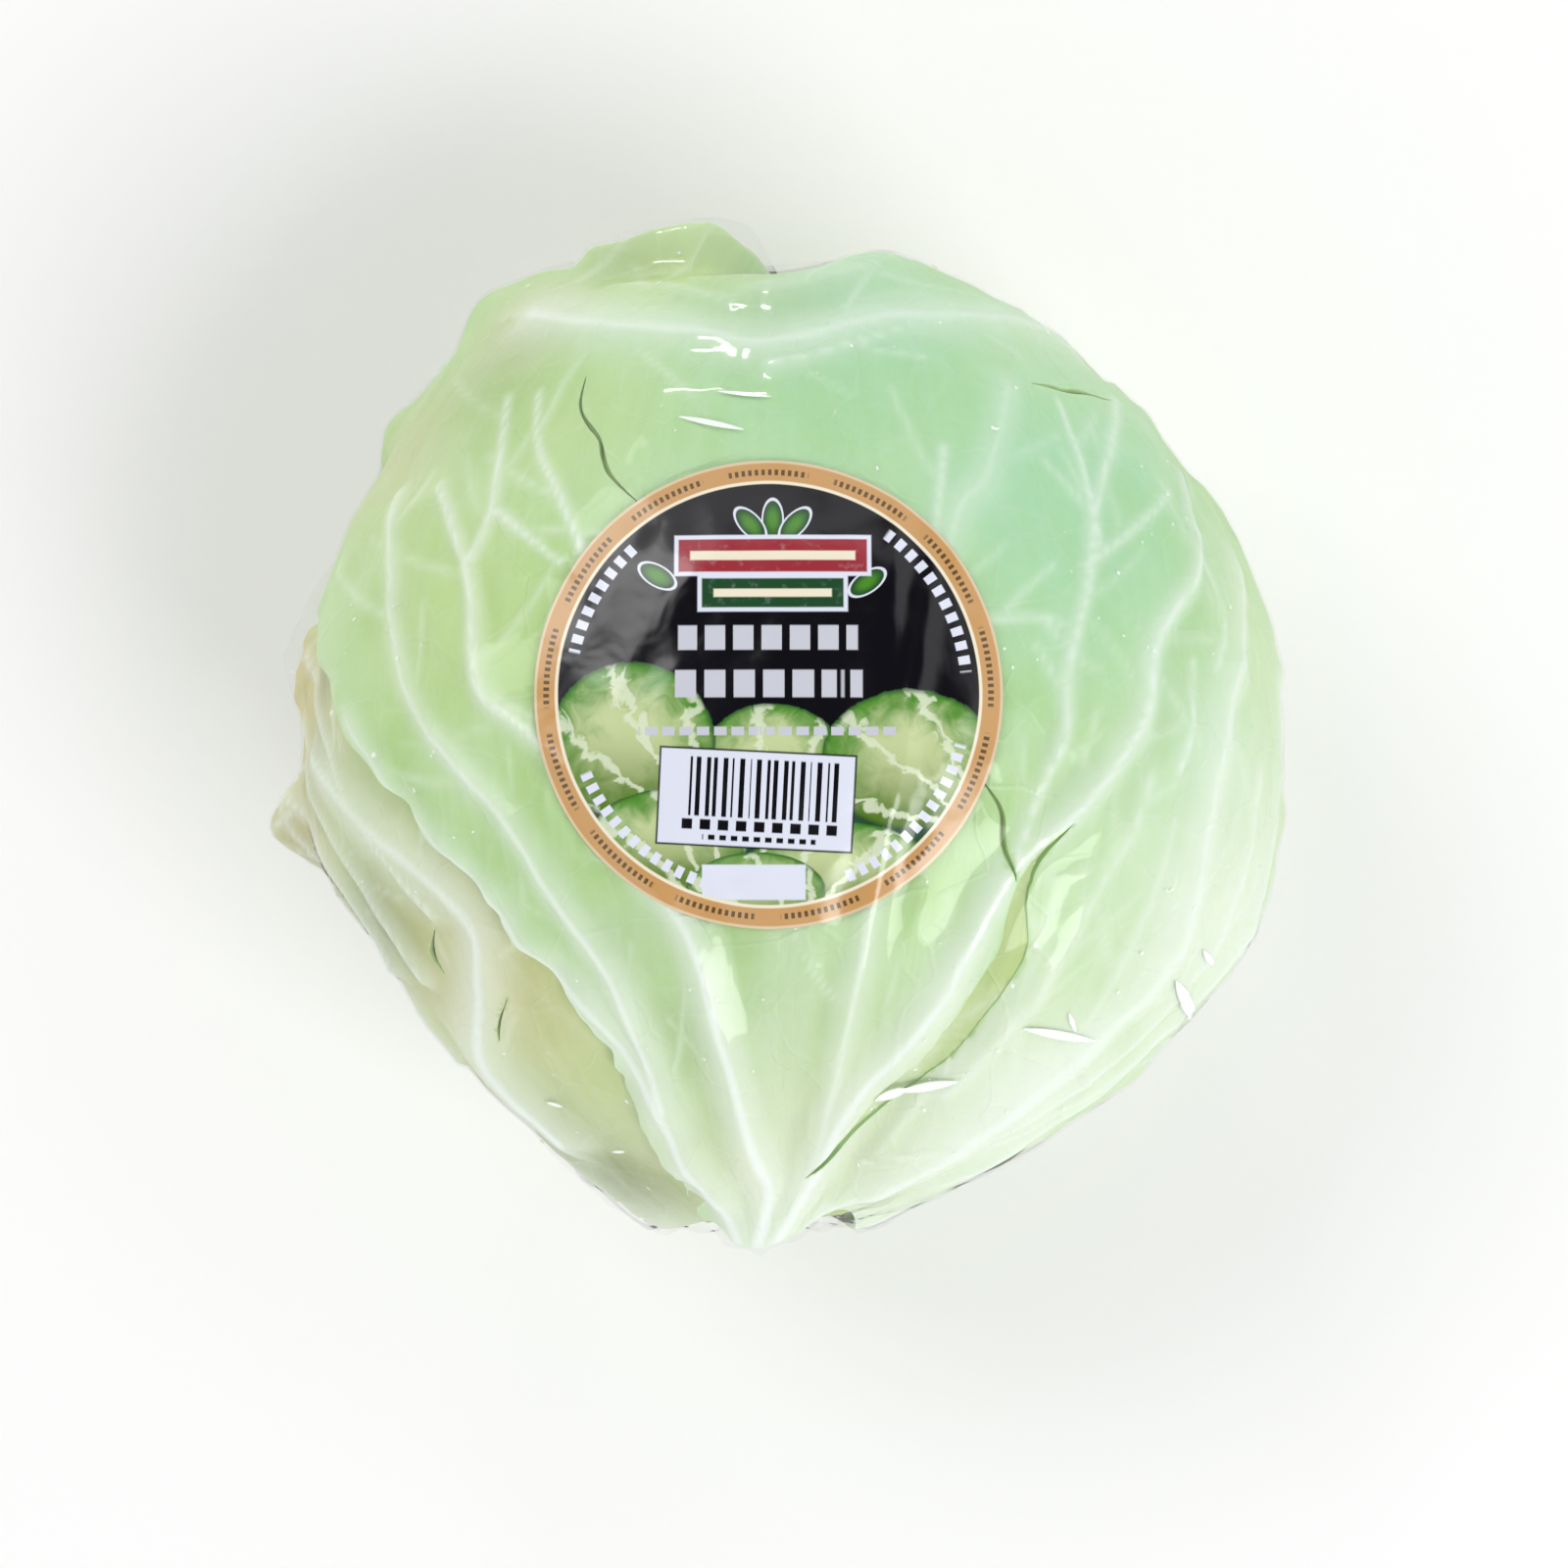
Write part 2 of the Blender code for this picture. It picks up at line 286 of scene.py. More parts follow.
@dataclass(frozen=True)
class HeadShape:
    """The tight head that everything lies on, with the same sizes as the frame's."""

    width: float = 0.149
    length: float = 0.153
    depth: float = 0.120
    squareness: float = 2.1
    stem_rise: float = 0.004
    stem_rise_reach: float = 30.0
    stem_lean: float = 0.0055
    stem_radius: float = 0.015
    stem_seat: float = 0.078
    stem_end: float = 0.085
    stump_end: float = 0.0818  # where the stump is cut, just inside the stalks round it
    swells: tuple = (
        Swell(88, -92, 0.0030, 17),
        Swell(146, -92, 0.0060, 15),
        Swell(66, 92, 0.0035, 26),
        Swell(40, -82, -0.0040, 20),
        Swell(130, 88, -0.0040, 17),
        Swell(115, -90, -0.0042, 9),
        Swell(92, -90, -0.0018, 10),
        Swell(48, -88, -0.0044, 13),
        Swell(30, -80, -0.0042, 12),
        Swell(66, 90, 0.0016, 9),
        Swell(152, -86, 0.0018, 7),
        Swell(170, -5, -0.0060, 8),
        Swell(60, -97, -0.0040, 9),
        Swell(58, -83, -0.0034, 9),
    )

    def radius(self, vectors: np.ndarray) -> np.ndarray:
        """From the middle to the tight head along unit vectors."""
        half = np.array([self.width, self.length, self.depth]) / 2.0
        radius = ((np.abs(vectors) / half) ** self.squareness).sum(axis=-1)
        radius = radius ** (-1.0 / self.squareness)
        tilt = np.degrees(angles(vectors)[0])
        radius = radius + self.stem_rise * np.exp(-((tilt / self.stem_rise_reach) ** 2))
        for swell in self.swells:
            radius = radius + swell.at(vectors)
        return radius

    def middle(self) -> np.ndarray:
        """Where the head's middle is in the frame, from the box of the cut stem."""
        low, high = (np.array(corner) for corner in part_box("cut_stem"))
        lean = self.stem_radius + self.stem_lean
        return np.array([low[0] + lean, low[1] + self.stem_end, (low[2] + high[2]) / 2.0])

    def placed(self, radius: np.ndarray, vectors: np.ndarray) -> np.ndarray:
        """Points of the frame at these distances, leaned over towards the stem's end."""
        points = vectors * radius[:, None]
        points[:, 0] -= self.stem_lean * (np.minimum(points[:, 1], 0.0) / self.stem_end) ** 2
        return points + self.middle()

    def pressed(self, radius: np.ndarray, vectors: np.ndarray, inside: float) -> np.ndarray:
        """The radius kept at least this far above what the head lies on."""
        down = np.maximum(-vectors[:, 2], 1e-6)
        return np.minimum(radius, (self.middle()[2] - inside) / down)


# ---------------------------------------------------------------- mesh helpers


def deselected() -> None:
    """Leaves edit mode and selects nothing."""
    if bpy.context.object and bpy.context.object.mode != "OBJECT":
        bpy.ops.object.mode_set(mode="OBJECT")
    bpy.ops.object.select_all(action="DESELECT")


def named(name: str) -> bpy.types.Object:
    """Names the object just added, and its mesh."""
    made = bpy.context.object
    made.name = name
    made.data.name = name
    return made


def coordinates(piece: bpy.types.Object) -> np.ndarray:
    """The places of a mesh's vertices, one row each."""
    flat = np.empty(len(piece.data.vertices) * 3)
    piece.data.vertices.foreach_get("co", flat)
    return flat.reshape(-1, 3)


def move_to(piece: bpy.types.Object, points: np.ndarray) -> None:
    """Puts a mesh's vertices at new places."""
    piece.data.vertices.foreach_set("co", points.astype(np.float32).ravel())
    piece.data.update()


def write_attribute(piece: bpy.types.Object, name: str, values: np.ndarray) -> None:
    """Stores a number from 0 to 1 at each vertex, for the finish to read."""
    layer = piece.data.attributes.new(name, "FLOAT", "POINT")
    layer.data.foreach_set("value", np.clip(values, 0.0, 1.0).astype(np.float32))


def choose(piece: bpy.types.Object) -> None:
    """Leaves edit mode and makes this the only piece selected."""
    deselected()
    bpy.context.view_layer.objects.active = piece
    piece.select_set(True)


def hand_over(piece: bpy.types.Object, node: str) -> bpy.types.Object:
    """Tells the frame what a finished piece rides on and stands for.

    Args:
        piece: The piece.
        node: The frame's node that it stands for.

    Returns:
        The piece.
    """
    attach(piece, "root")
    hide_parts(node)
    LOG.info("%s: %d faces", piece.name, len(piece.data.polygons))
    return piece


def apply_modifier(piece: bpy.types.Object, kind: str, **settings: object) -> None:
    """Adds a modifier with these settings to a piece and applies it."""
    choose(piece)
    modifier = piece.modifiers.new(kind.title(), kind)
    for key, value in settings.items():
        setattr(modifier, key, value)
    bpy.ops.object.modifier_apply(modifier=modifier.name)


def shade(piece: bpy.types.Object, angle: float = 50.0) -> None:
    """Shades a piece smooth, up to edges of this many degrees."""
    choose(piece)
    bpy.ops.object.shade_smooth_by_angle(angle=np.radians(angle))


def grid(name: str, columns: int, rows: int) -> tuple[bpy.types.Object, np.ndarray]:
    """Adds a flat grid.

    Args:
        name: The piece's name.
        columns: Faces along X.
        rows: Faces along Y.

    Returns:
        The piece and its vertices' x and y, both from -1 to 1.
    """
    deselected()
    bpy.ops.mesh.primitive_grid_add(x_subdivisions=columns, y_subdivisions=rows, size=2.0)
    piece = named(name)
    return piece, coordinates(piece)[:, :2]


def ball(name: str, cuts: int) -> tuple[bpy.types.Object, np.ndarray]:
    """Adds a cube that is subdivided evenly enough to be blown up into a ball.

    Args:
        name: The piece's name.
        cuts: How many times each edge is cut.

    Returns:
        The piece and a unit vector for each vertex.
    """
    deselected()
    bpy.ops.mesh.primitive_cube_add(size=2.0)
    piece = named(name)
    bpy.ops.object.mode_set(mode="EDIT")
    bpy.ops.mesh.subdivide(number_cuts=cuts)
    bpy.ops.object.mode_set(mode="OBJECT")
    even = np.tan(coordinates(piece) * np.pi / 4.0)
    return piece, even / np.linalg.norm(even, axis=1)[:, None]


# ---------------------------------------------------------------- materials


def feed(tree: bpy.types.NodeTree, sockets: bpy.types.bpy_prop_collection, values: tuple) -> None:
    """Links each output among the values to its socket, and sets each plain number on it."""
    for socket, value in zip(sockets, values):
        if isinstance(value, Wire):
            tree.links.new(value.socket, socket)
        else:
            socket.default_value = value


class Wire:
    """An output in a material, which plain arithmetic can be done on."""

    def __init__(self, tree: bpy.types.NodeTree, socket: bpy.types.NodeSocket) -> None:
        """Takes the material's nodes and one output socket of them."""
        self.tree = tree
        self.socket = socket

    def math(self, operation: str, *others: "Wire | float", clamp: bool = False) -> "Wire":
        """A Math node on this output and others."""
        node = self.tree.nodes.new("ShaderNodeMath")
        node.operation = operation
        node.use_clamp = clamp
        feed(self.tree, node.inputs, (self, *others))
        return Wire(self.tree, node.outputs[0])

    def __add__(self, other: "Wire | float") -> "Wire":
        """The sum."""
        return self.math("ADD", other)

    def __sub__(self, other: "Wire | float") -> "Wire":
        """The difference."""
        return self.math("SUBTRACT", other)

    def __mul__(self, other: "Wire | float") -> "Wire":
        """The product."""
        return self.math("MULTIPLY", other)

    def __truediv__(self, other: "Wire | float") -> "Wire":
        """The quotient."""
        return self.math("DIVIDE", other)

    __radd__ = __add__
    __rmul__ = __mul__

    def inverse(self) -> "Wire":
        """1 less this."""
        return (self * -1.0) + 1.0

    def size(self) -> "Wire":
        """Without its sign."""
        return self.math("ABSOLUTE")

    def least(self, other: "Wire | float") -> "Wire":
        """The lower of two."""
        return self.math("MINIMUM", other)

    def most(self, other: "Wire | float") -> "Wire":
        """The higher of two."""
        return self.math("MAXIMUM", other)

    def ramp(self, low: float, high: float, start: float = 0.0, end: float = 1.0) -> "Wire":
        """Start at or below low, end at or above high, and smooth between."""
        node = self.tree.nodes.new("ShaderNodeMapRange")
        node.interpolation_type = "SMOOTHSTEP"
        self.tree.links.new(self.socket, node.inputs["Value"])
        for name, value in (
            ("From Min", low),
            ("From Max", high),
            ("To Min", start),
            ("To Max", end),
        ):
            node.inputs[name].default_value = value
        return Wire(self.tree, node.outputs["Result"])


Colour = tuple[float, float, float]


def colour(code: str) -> Colour:
    """A linear colour from a six-digit screen colour."""
    parts = [int(code[at : at + 2], 16) / 255.0 for at in (0, 2, 4)]
    return tuple(v / 12.92 if v <= 0.04045 else ((v + 0.055) / 1.055) ** 2.4 for v in parts)


class Paint:
    """The nodes of one material, with its Principled shader."""

    def __init__(self, name: str) -> None:
        """Makes the material under this name."""
        self.material = bpy.data.materials.new(name)
        self.material.use_nodes = True
        self.tree = self.material.node_tree
        self.shader = self.tree.nodes["Principled BSDF"]
        self.object_place = self.tree.nodes.new("ShaderNodeTexCoord").outputs["Object"]

    def set(self, **sockets: float | tuple) -> None:
        """Sets constants on the shader's sockets; an underscore stands for a space."""
        for name, value in sockets.items():
            self.shader.inputs[name.replace("_", " ")].default_value = value

    def link(self, value: Wire, socket: str) -> None:
        """Links an output to one of the shader's sockets."""
        self.tree.links.new(value.socket, self.shader.inputs[socket])

    def attribute(self, name: str) -> Wire:
        """A number stored on the piece."""
        node = self.tree.nodes.new("ShaderNodeAttribute")
        node.attribute_name = name
        return Wire(self.tree, node.outputs["Fac"])

    def axes(self, socket: bpy.types.NodeSocket | None = None) -> tuple[Wire, Wire, Wire]:
        """The x, y and z of a vector output, or of the place on the piece."""
        node = self.tree.nodes.new("ShaderNodeSeparateXYZ")
        self.tree.links.new(socket or self.object_place, node.inputs[0])
        return tuple(Wire(self.tree, out) for out in node.outputs)

    def vector(self, x: Wire | float, y: Wire | float, z: Wire | float = 0.0) -> Wire:
        """A vector of three values."""
        node = self.tree.nodes.new("ShaderNodeCombineXYZ")
        feed(self.tree, node.inputs, (x, y, z))
        return Wire(self.tree, node.outputs[0])

    def noise(self, scale: float, detail: float = 3.0, rough: float = 0.55, **more) -> Wire:
        """Noise of this scale.

        Args:
            scale: Cells in a metre.
            detail: Octaves.
            rough: The share of the finer octaves.
            more: at, a vector in place of the place on the piece, and twist, its distortion.

        Returns:
            A value round 0.5.
        """
        node = self.tree.nodes.new("ShaderNodeTexNoise")
        place = more["at"].socket if "at" in more else self.object_place
        self.tree.links.new(place, node.inputs["Vector"])
        node.inputs["Scale"].default_value = scale
        node.inputs["Detail"].default_value = detail
        node.inputs["Roughness"].default_value = rough
        node.inputs["Distortion"].default_value = more.get("twist", 0.0)
        return Wire(self.tree, node.outputs["Fac"])

    def net(self, scale: float, wobble: float) -> Wire:
        """How far it is to the nearest line of a net of veins.

        Args:
            scale: Cells in a metre.
            wobble: How far the lines wander, in metres.

        Returns:
            0 on a line and more away from it.
        """
        noise = self.tree.nodes.new("ShaderNodeTexNoise")
        self.tree.links.new(self.object_place, noise.inputs["Vector"])
        noise.inputs["Scale"].default_value = scale * 0.7
        shift = self.tree.nodes.new("ShaderNodeVectorMath")
        shift.operation = "MULTIPLY_ADD"
        self.tree.links.new(noise.outputs["Color"], shift.inputs[0])
        shift.inputs[1].default_value = (wobble,) * 3
        self.tree.links.new(self.object_place, shift.inputs[2])
        node = self.tree.nodes.new("ShaderNodeTexVoronoi")
        node.feature = "DISTANCE_TO_EDGE"
        node.inputs["Scale"].default_value = scale
        self.tree.links.new(shift.outputs[0], node.inputs["Vector"])
        return Wire(self.tree, node.outputs["Distance"])

    def blend(self, under: "Wire | Colour", over: "Wire | Colour", share: Wire) -> Wire:
        """One colour over another, by share."""
        node = self.tree.nodes.new("ShaderNodeMix")
        node.data_type = "RGBA"
        sockets = [s for s in node.inputs if s.type == "RGBA"]
        self.tree.links.new(share.socket, node.inputs[0])
        for socket, value in zip(sockets, (under, over)):
            if isinstance(value, Wire):
                self.tree.links.new(value.socket, socket)
            else:
                socket.default_value = (*value, 1.0)
        return Wire(self.tree, next(s for s in node.outputs if s.type == "RGBA"))

    def bump(self, *layers: tuple[Wire, float]) -> bpy.types.NodeSocket:
        """Bumps of the given heights in metres, one on another, linked to the shader.

        Args:
            layers: Pairs of a value from 0 to 1 and the height in metres that 1 stands for.

        Returns:
            The normal.
        """
        normal = None
        for height, depth in layers:
            node = self.tree.nodes.new("ShaderNodeBump")
            node.inputs["Distance"].default_value = depth
            node.inputs["Strength"].default_value = 1.0
            self.tree.links.new(height.socket, node.inputs["Height"])
            if normal:
                self.tree.links.new(normal, node.inputs["Normal"])
            normal = node.outputs["Normal"]
        self.tree.links.new(normal, self.shader.inputs["Normal"])
        return normal


@dataclass(frozen=True)
class LeafFinish:
    """Waxy leaf: mottled green, with pale veins, a fine net between them and soft stains, a few of
    which are painted shade.
    """

    name: str
    green: str = "b4d68e"
    light: str = "c8e2b4"
    mint: str = "bce4cc"
    yellow: str = "c3d98b"
    pale: str = "dcebd0"
    tan: str = "d3d0a6"
    deep: str = "8fa557"
    vein: str = "eef8f0"
    roughness: float = 0.42
    net: float = 0.05  # how strongly the finest veins show
    middle: tuple = (0.0011, 0.0013, 0.0630)  # where the head's middle is

    def material(self) -> bpy.types.Material:
        """Builds the finish.

        Returns:
            The material.
        """
        paint = Paint(self.name)
        mottle = paint.noise(42.0, 4.0, 0.6, twist=0.4)
        fine = paint.noise(260.0, 3.0, 0.6)
        x, y, z = paint.axes()
        turn = (x - self.middle[0]).math("ARCTAN2", z - self.middle[2])
        fibres = paint.noise(1.0, 3.0, 0.6, at=paint.vector(turn * 13.0, y * 26.0), twist=0.6)
        mottle = mottle * 0.68 + fibres * 0.32
        base = paint.blend(colour(self.green), colour(self.light), mottle.ramp(0.36, 0.64))
        for tint in Tint:
            stain_and_shade = paint.attribute(tint.value) * mottle.ramp(0.1, 0.75, 0.72, 1.12)
            base = paint.blend(base, colour(getattr(self, tint.value)), stain_and_shade.least(1.0))
        speckle = fine.ramp(0.52, 0.78, 0.0, 0.22)
        base = paint.blend(base, colour(self.light), speckle)
        coarse = paint.net(105.0, 0.006).ramp(0.0, 0.055, 1.0, 0.0)
        small = paint.net(290.0, 0.003).ramp(0.0, 0.10, 1.0, 0.0)
        lines = (coarse * self.net).most(small * (self.net * 0.55))
        base = paint.blend(base, colour(self.vein), lines)
        vein = paint.attribute("vein")
        base = paint.blend(base, colour(self.vein), vein)
        paint.link(base, "Base Color")
        rough = fine * 0.16 + (self.roughness - 0.08)
        paint.link(rough, "Roughness")
        paint.bump((coarse, 0.00007), (fibres, 0.00030), (fine, 0.00010))
        paint.set(
            Subsurface_Weight=0.22,
            Subsurface_Radius=(0.7, 1.0, 0.35),
            Subsurface_Scale=0.0016,
            Specular_IOR_Level=0.42,
        )
        return paint.material


@dataclass(frozen=True)
class StalkFinish:
    """The cut stump: pale moist flesh with rings and a greener skin."""

    name: str = "cut_stalk"
    flesh: str = "dfe3bd"
    core: str = "eeeedb"
    skin: str = "a9bd7c"
    dry: str = "b9a878"

    def material(self) -> bpy.types.Material:
        """Builds the finish.

        Returns:
            The material.
        """
        paint = Paint(self.name)
        rim = paint.attribute("rim")
        fibres = paint.noise(900.0, 2.0, 0.6)
        cloud = paint.noise(160.0, 3.0, 0.6)
        base = paint.blend(colour(self.core), colour(self.flesh), rim.ramp(0.15, 0.75))
        ring = (rim * 38.0 + cloud * 3.0).math("SINE") * 0.10 + 0.12
        base = paint.blend(base, colour(self.skin), ring.most(0.0))
        base = paint.blend(base, colour(self.dry), cloud.ramp(0.52, 0.74, 0.0, 0.55))
        base = paint.blend(base, colour(self.skin), rim.ramp(0.86, 0.98, 0.0, 0.85))
        paint.link(base, "Base Color")
        paint.link(fibres * 0.2 + 0.5, "Roughness")
        paint.bump((fibres, 0.00018), (cloud, 0.0006))
        paint.set(Subsurface_Weight=0.2, Subsurface_Radius=(1.0, 0.9, 0.5), Subsurface_Scale=0.002)
        return paint.material


@dataclass(frozen=True)
class PaintedFoldHighlight:
    """A painted highlight: a thin white streak drawn on the film along a sharp fold, seen from above.
    """

    start: tuple  # x and y in metres
    end: tuple
    half_width: float
    above: float = 0.06  # it is drawn only higher than this
    share: float = 0.95

    def mark(self, x: Wire, y: Wire, z: Wire) -> Wire:
        """How white the painted highlight makes the film.

        Args:
            x: The place on the film.
            y: The place on the film.
            z: The place on the film.

        Returns:
            From 0 to the fold highlight's share.
        """
        run = (self.end[0] - self.start[0], self.end[1] - self.start[1])
        length = run[0] ** 2 + run[1] ** 2
        dx, dy = x - self.start[0], y - self.start[1]
        along = ((dx * run[0] + dy * run[1]) / length).math("ADD", 0.0, clamp=True)
        off_x, off_y = dx - along * run[0], dy - along * run[1]
        apart = (off_x * off_x + off_y * off_y).math("SQRT")
        taper = (along * along.inverse()) * 3.2 + 0.2
        mark = (apart / (taper * self.half_width)).ramp(0.7, 1.15, self.share, 0.0)
        return mark * z.ramp(self.above, self.above + 0.002)


@dataclass(frozen=True)
class FilmFinish:
    """Clear stretched film: all but invisible where it faces one, glossy at a slant, with painted
    highlights along its folds and creases.
    """

    name: str = "clear_film"
    tint: str = "f6faf6"
    haze: float = 0.015
    most_gloss: float = 0.07
    # painted highlight streaks along the film's folds
    folds: tuple = ()

    def material(self) -> bpy.types.Material:
        """Builds the finish of the outer side.

        Returns:
            The material.
        """
        paint = Paint(self.name)
        folds = paint.noise(26.0, 2.0, 0.5, twist=1.2)
        ripple = paint.noise(120.0, 2.0, 0.5, twist=0.6)
        crease = paint.attribute("crease")
        paint.set(Base_Color=(*colour(self.tint), 1.0), Roughness=0.12, IOR=1.46)
        normal = paint.bump((folds, 0.0009), (ripple, 0.00008))
        # painted highlight along creases and pleat crests, over an even faint haze
        marks = crease.ramp(0.0, 1.0, self.haze, 0.6)
        # painted glints: sparse tiny white specks on the film
        glint_specks = paint.noise(620.0, 1.0, 0.5).ramp(0.765, 0.785, 0.0, 0.75)
        marks = marks.most(glint_specks)
        x, y, z = paint.axes()
        # painted highlights: white streaks along the folds
        for fold in self.folds:
            marks = marks.most(fold.mark(x, y, z))
        paint.link(marks, "Alpha")
        gloss = paint.tree.nodes.new("ShaderNodeBsdfGlossy")
        gloss.inputs["Roughness"].default_value = 0.07
        gloss.inputs["Color"].default_value = (1.0, 1.0, 1.0, 1.0)
        paint.tree.links.new(normal, gloss.inputs["Normal"])
        fresnel = paint.tree.nodes.new("ShaderNodeFresnel")
        fresnel.inputs["IOR"].default_value = 1.33
        share = Wire(paint.tree, fresnel.outputs[0])
        mix = paint.tree.nodes.new("ShaderNodeMixShader")
        paint.tree.links.new(share.least(self.most_gloss).socket, mix.inputs[0])
        paint.tree.links.new(paint.shader.outputs[0], mix.inputs[1])
        paint.tree.links.new(gloss.outputs[0], mix.inputs[2])
        output = paint.tree.nodes["Material Output"]
        paint.tree.links.new(mix.outputs[0], output.inputs["Surface"])
        return paint.material

    def inner(self) -> bpy.types.Material:
        """Builds the finish of the inner side, which only lets light through."""
        paint = Paint(self.name + "_inner")
        paint.set(Base_Color=(*colour(self.tint), 1.0), Roughness=0.3, Alpha=0.01)
        paint.set(Specular_IOR_Level=0.0)
        return paint.material


@dataclass(frozen=True)
class LabelFinish:
    """Gloss print: a dark field in a tan ring, leafy artwork, a white panel and plain bars."""

    name: str = "printed_label"
    field: str = "08070f"
    ring: str = "c89a62"
    line: str = "efe6cf"
    white: str = "dfe3f2"
    silver: str = "c9cbd6"
    red: str = "9c2f3a"
    dark_green: str = "1f4a2a"
    leaf: str = "4c8a2a"
    outer_leaf: str = "56711b"
    heart: str = "c5d39c"
    rib: str = "dfe8cc"

    def material(self) -> bpy.types.Material:
        """Builds the finish.

        Returns:
            The material.
        """
        paint = Paint(self.name)
        node = paint.tree.nodes.new("ShaderNodeUVMap")
        node.uv_map = "print"
        u, v, _ = paint.axes(node.outputs[0])
        u, v = (u - 0.5) * 2.0, (v - 0.5) * 2.0
        grain = paint.noise(700.0, 3.0)
        base = self.artwork(paint, u, v, grain)
        base = self.panel(paint, u, v, base)
        base = self.words(paint, u, v, base, grain)
        base = self.rim(paint, u, v, base)
        paint.link(base, "Base Color")
        paint.link(grain * 0.06 + 0.17, "Roughness")
        dents = paint.noise(120.0, 2.0, 0.5, twist=0.4)
        paint.bump((dents, 0.00035))
        paint.set(Specular_IOR_Level=0.5, Coat_Weight=0.2, Coat_Roughness=0.06)
        return paint.material

    @staticmethod
    def box(x: Wire, y: Wire, middle: tuple, half: tuple, soft: float = 0.004) -> Wire:
        """1 inside an upright box, 0 outside."""
        across = (x - middle[0]).size() - half[0]
        return across.most((y - middle[1]).size() - half[1]).ramp(-soft, soft, 1.0, 0.0)

    @staticmethod
    def oval(x: Wire, y: Wire, middle: tuple, half: tuple, turn: float = 0.0) -> Wire:
        """How far out in a turned oval a place is, 1 at its edge."""
        cos, sin = float(np.cos(turn)), float(np.sin(turn))
        dx, dy = x - middle[0], y - middle[1]
        along = (dx * cos + dy * sin) / half[0]
        across = (dy * cos - dx * sin) / half[1]
        return (along * along + across * across).math("SQRT")

    def cabbage(self, paint: Paint, base: Wire, x: Wire, y: Wire, where: tuple) -> Wire:
        """Draws one head in the artwork.

        Args:
            paint: The material.
            base: The colour under it.
            x: Across the label, from -1 to 1.
            y: Up the label.
            where: Its middle's x and y, its half width and height, and where its ribs run to.

        Returns:
            The colour with the head over it.
        """
        cx, cy, half_x, half_y, root_x, root_y = where
        out = self.oval(x, y, (cx, cy), (half_x, half_y))
        wave = paint.noise(260.0, 3.0, twist=1.0)
        inside = (out + (wave - 0.5) * 0.10).ramp(0.97, 1.0, 1.0, 0.0)
        angle = (y - root_y).math("ARCTAN2", x - root_x)
        rays = ((angle * 15.0 + wave * 5.0).math("SINE")).ramp(0.72, 0.98)
        shade_share = (out + (wave - 0.5) * 0.9).ramp(0.25, 1.05)
        body = paint.blend(colour(self.heart), colour(self.leaf), shade_share)
        body = paint.blend(body, colour(self.outer_leaf), (y - cy).ramp(0.1, -half_y, 0.0, 0.8))
        body = paint.blend(body, colour(self.rib), rays * 0.75)
        body = paint.blend(body, colour(self.dark_green), out.ramp(0.90, 1.0, 0.0, 0.8))
        return paint.blend(base, body, inside)

    def artwork(self, paint: Paint, u: Wire, v: Wire, grain: Wire) -> Wire:
        """The dark field with leafy heads along its lower half.

        Args:
            paint: The material.
            u: Across the label, from -1 to 1.
            v: Up the label, from -1 to 1.
            grain: Fine noise.

        Returns:
            The colour.
        """
        ground = (v + (grain - 0.5) * 0.05).ramp(-0.42, -0.30, 1.0, 0.0)
        base = paint.blend(colour(self.field), colour(self.dark_green), ground)
        for where in (
            (0.02, -0.28, 0.30, 0.24, 0.0, -0.7),
            (-0.58, -0.20, 0.36, 0.34, -0.30, -0.62),
            (0.60, -0.28, 0.38, 0.30, 0.95, -0.62),
            (-0.42, -0.62, 0.34, 0.22, -0.2, -0.95),
            (0.30, -0.74, 0.40, 0.20, 0.0, -1.1),
            (-0.05, -0.84, 0.30, 0.17, 0.2, -1.2),
        ):
            base = self.cabbage(paint, base, u, v, where)
        return base

    def panel(self, paint: Paint, u: Wire, v: Wire, base: Wire) -> Wire:
        """The white panel with upright bars and a line of dashes, printed a little askew.

        Args:
            paint: The material.
            u: Across the label, from -1 to 1.
            v: Up the label, from -1 to 1.
            base: The colour under it.

        Returns:
            The colour with the panel over it.
        """
        cos, sin = float(np.cos(-0.05)), float(np.sin(-0.05))
        dx, dy = u + 0.05, v + 0.45
        x, y = dx * cos + dy * sin, dy * cos - dx * sin
        base = paint.blend(base, colour(self.field), self.box(x, y, (0, 0), (0.418, 0.208)))
        base = paint.blend(base, colour(self.white), self.box(x, y, (0, 0), (0.410, 0.200)))
        mixed = (x * 173.0).math("SINE") + (x * 97.0 + 1.3).math("SINE") * 0.8
        bars = mixed.ramp(0.10, 0.22) * self.box(x, y, (0.03, 0.045), (0.325, 0.125))
        base = paint.blend(base, colour(self.field), bars)
        for row, half, step in ((-0.115, 0.022, 82.0), (-0.168, 0.011, 130.0)):
            dash = (x * step).math("SINE").ramp(-0.35, -0.15)
            line = dash * self.box(x, y, (0.02, row), (0.34 if half > 0.02 else 0.24, half))
            base = paint.blend(base, colour(self.field), line)
        return base

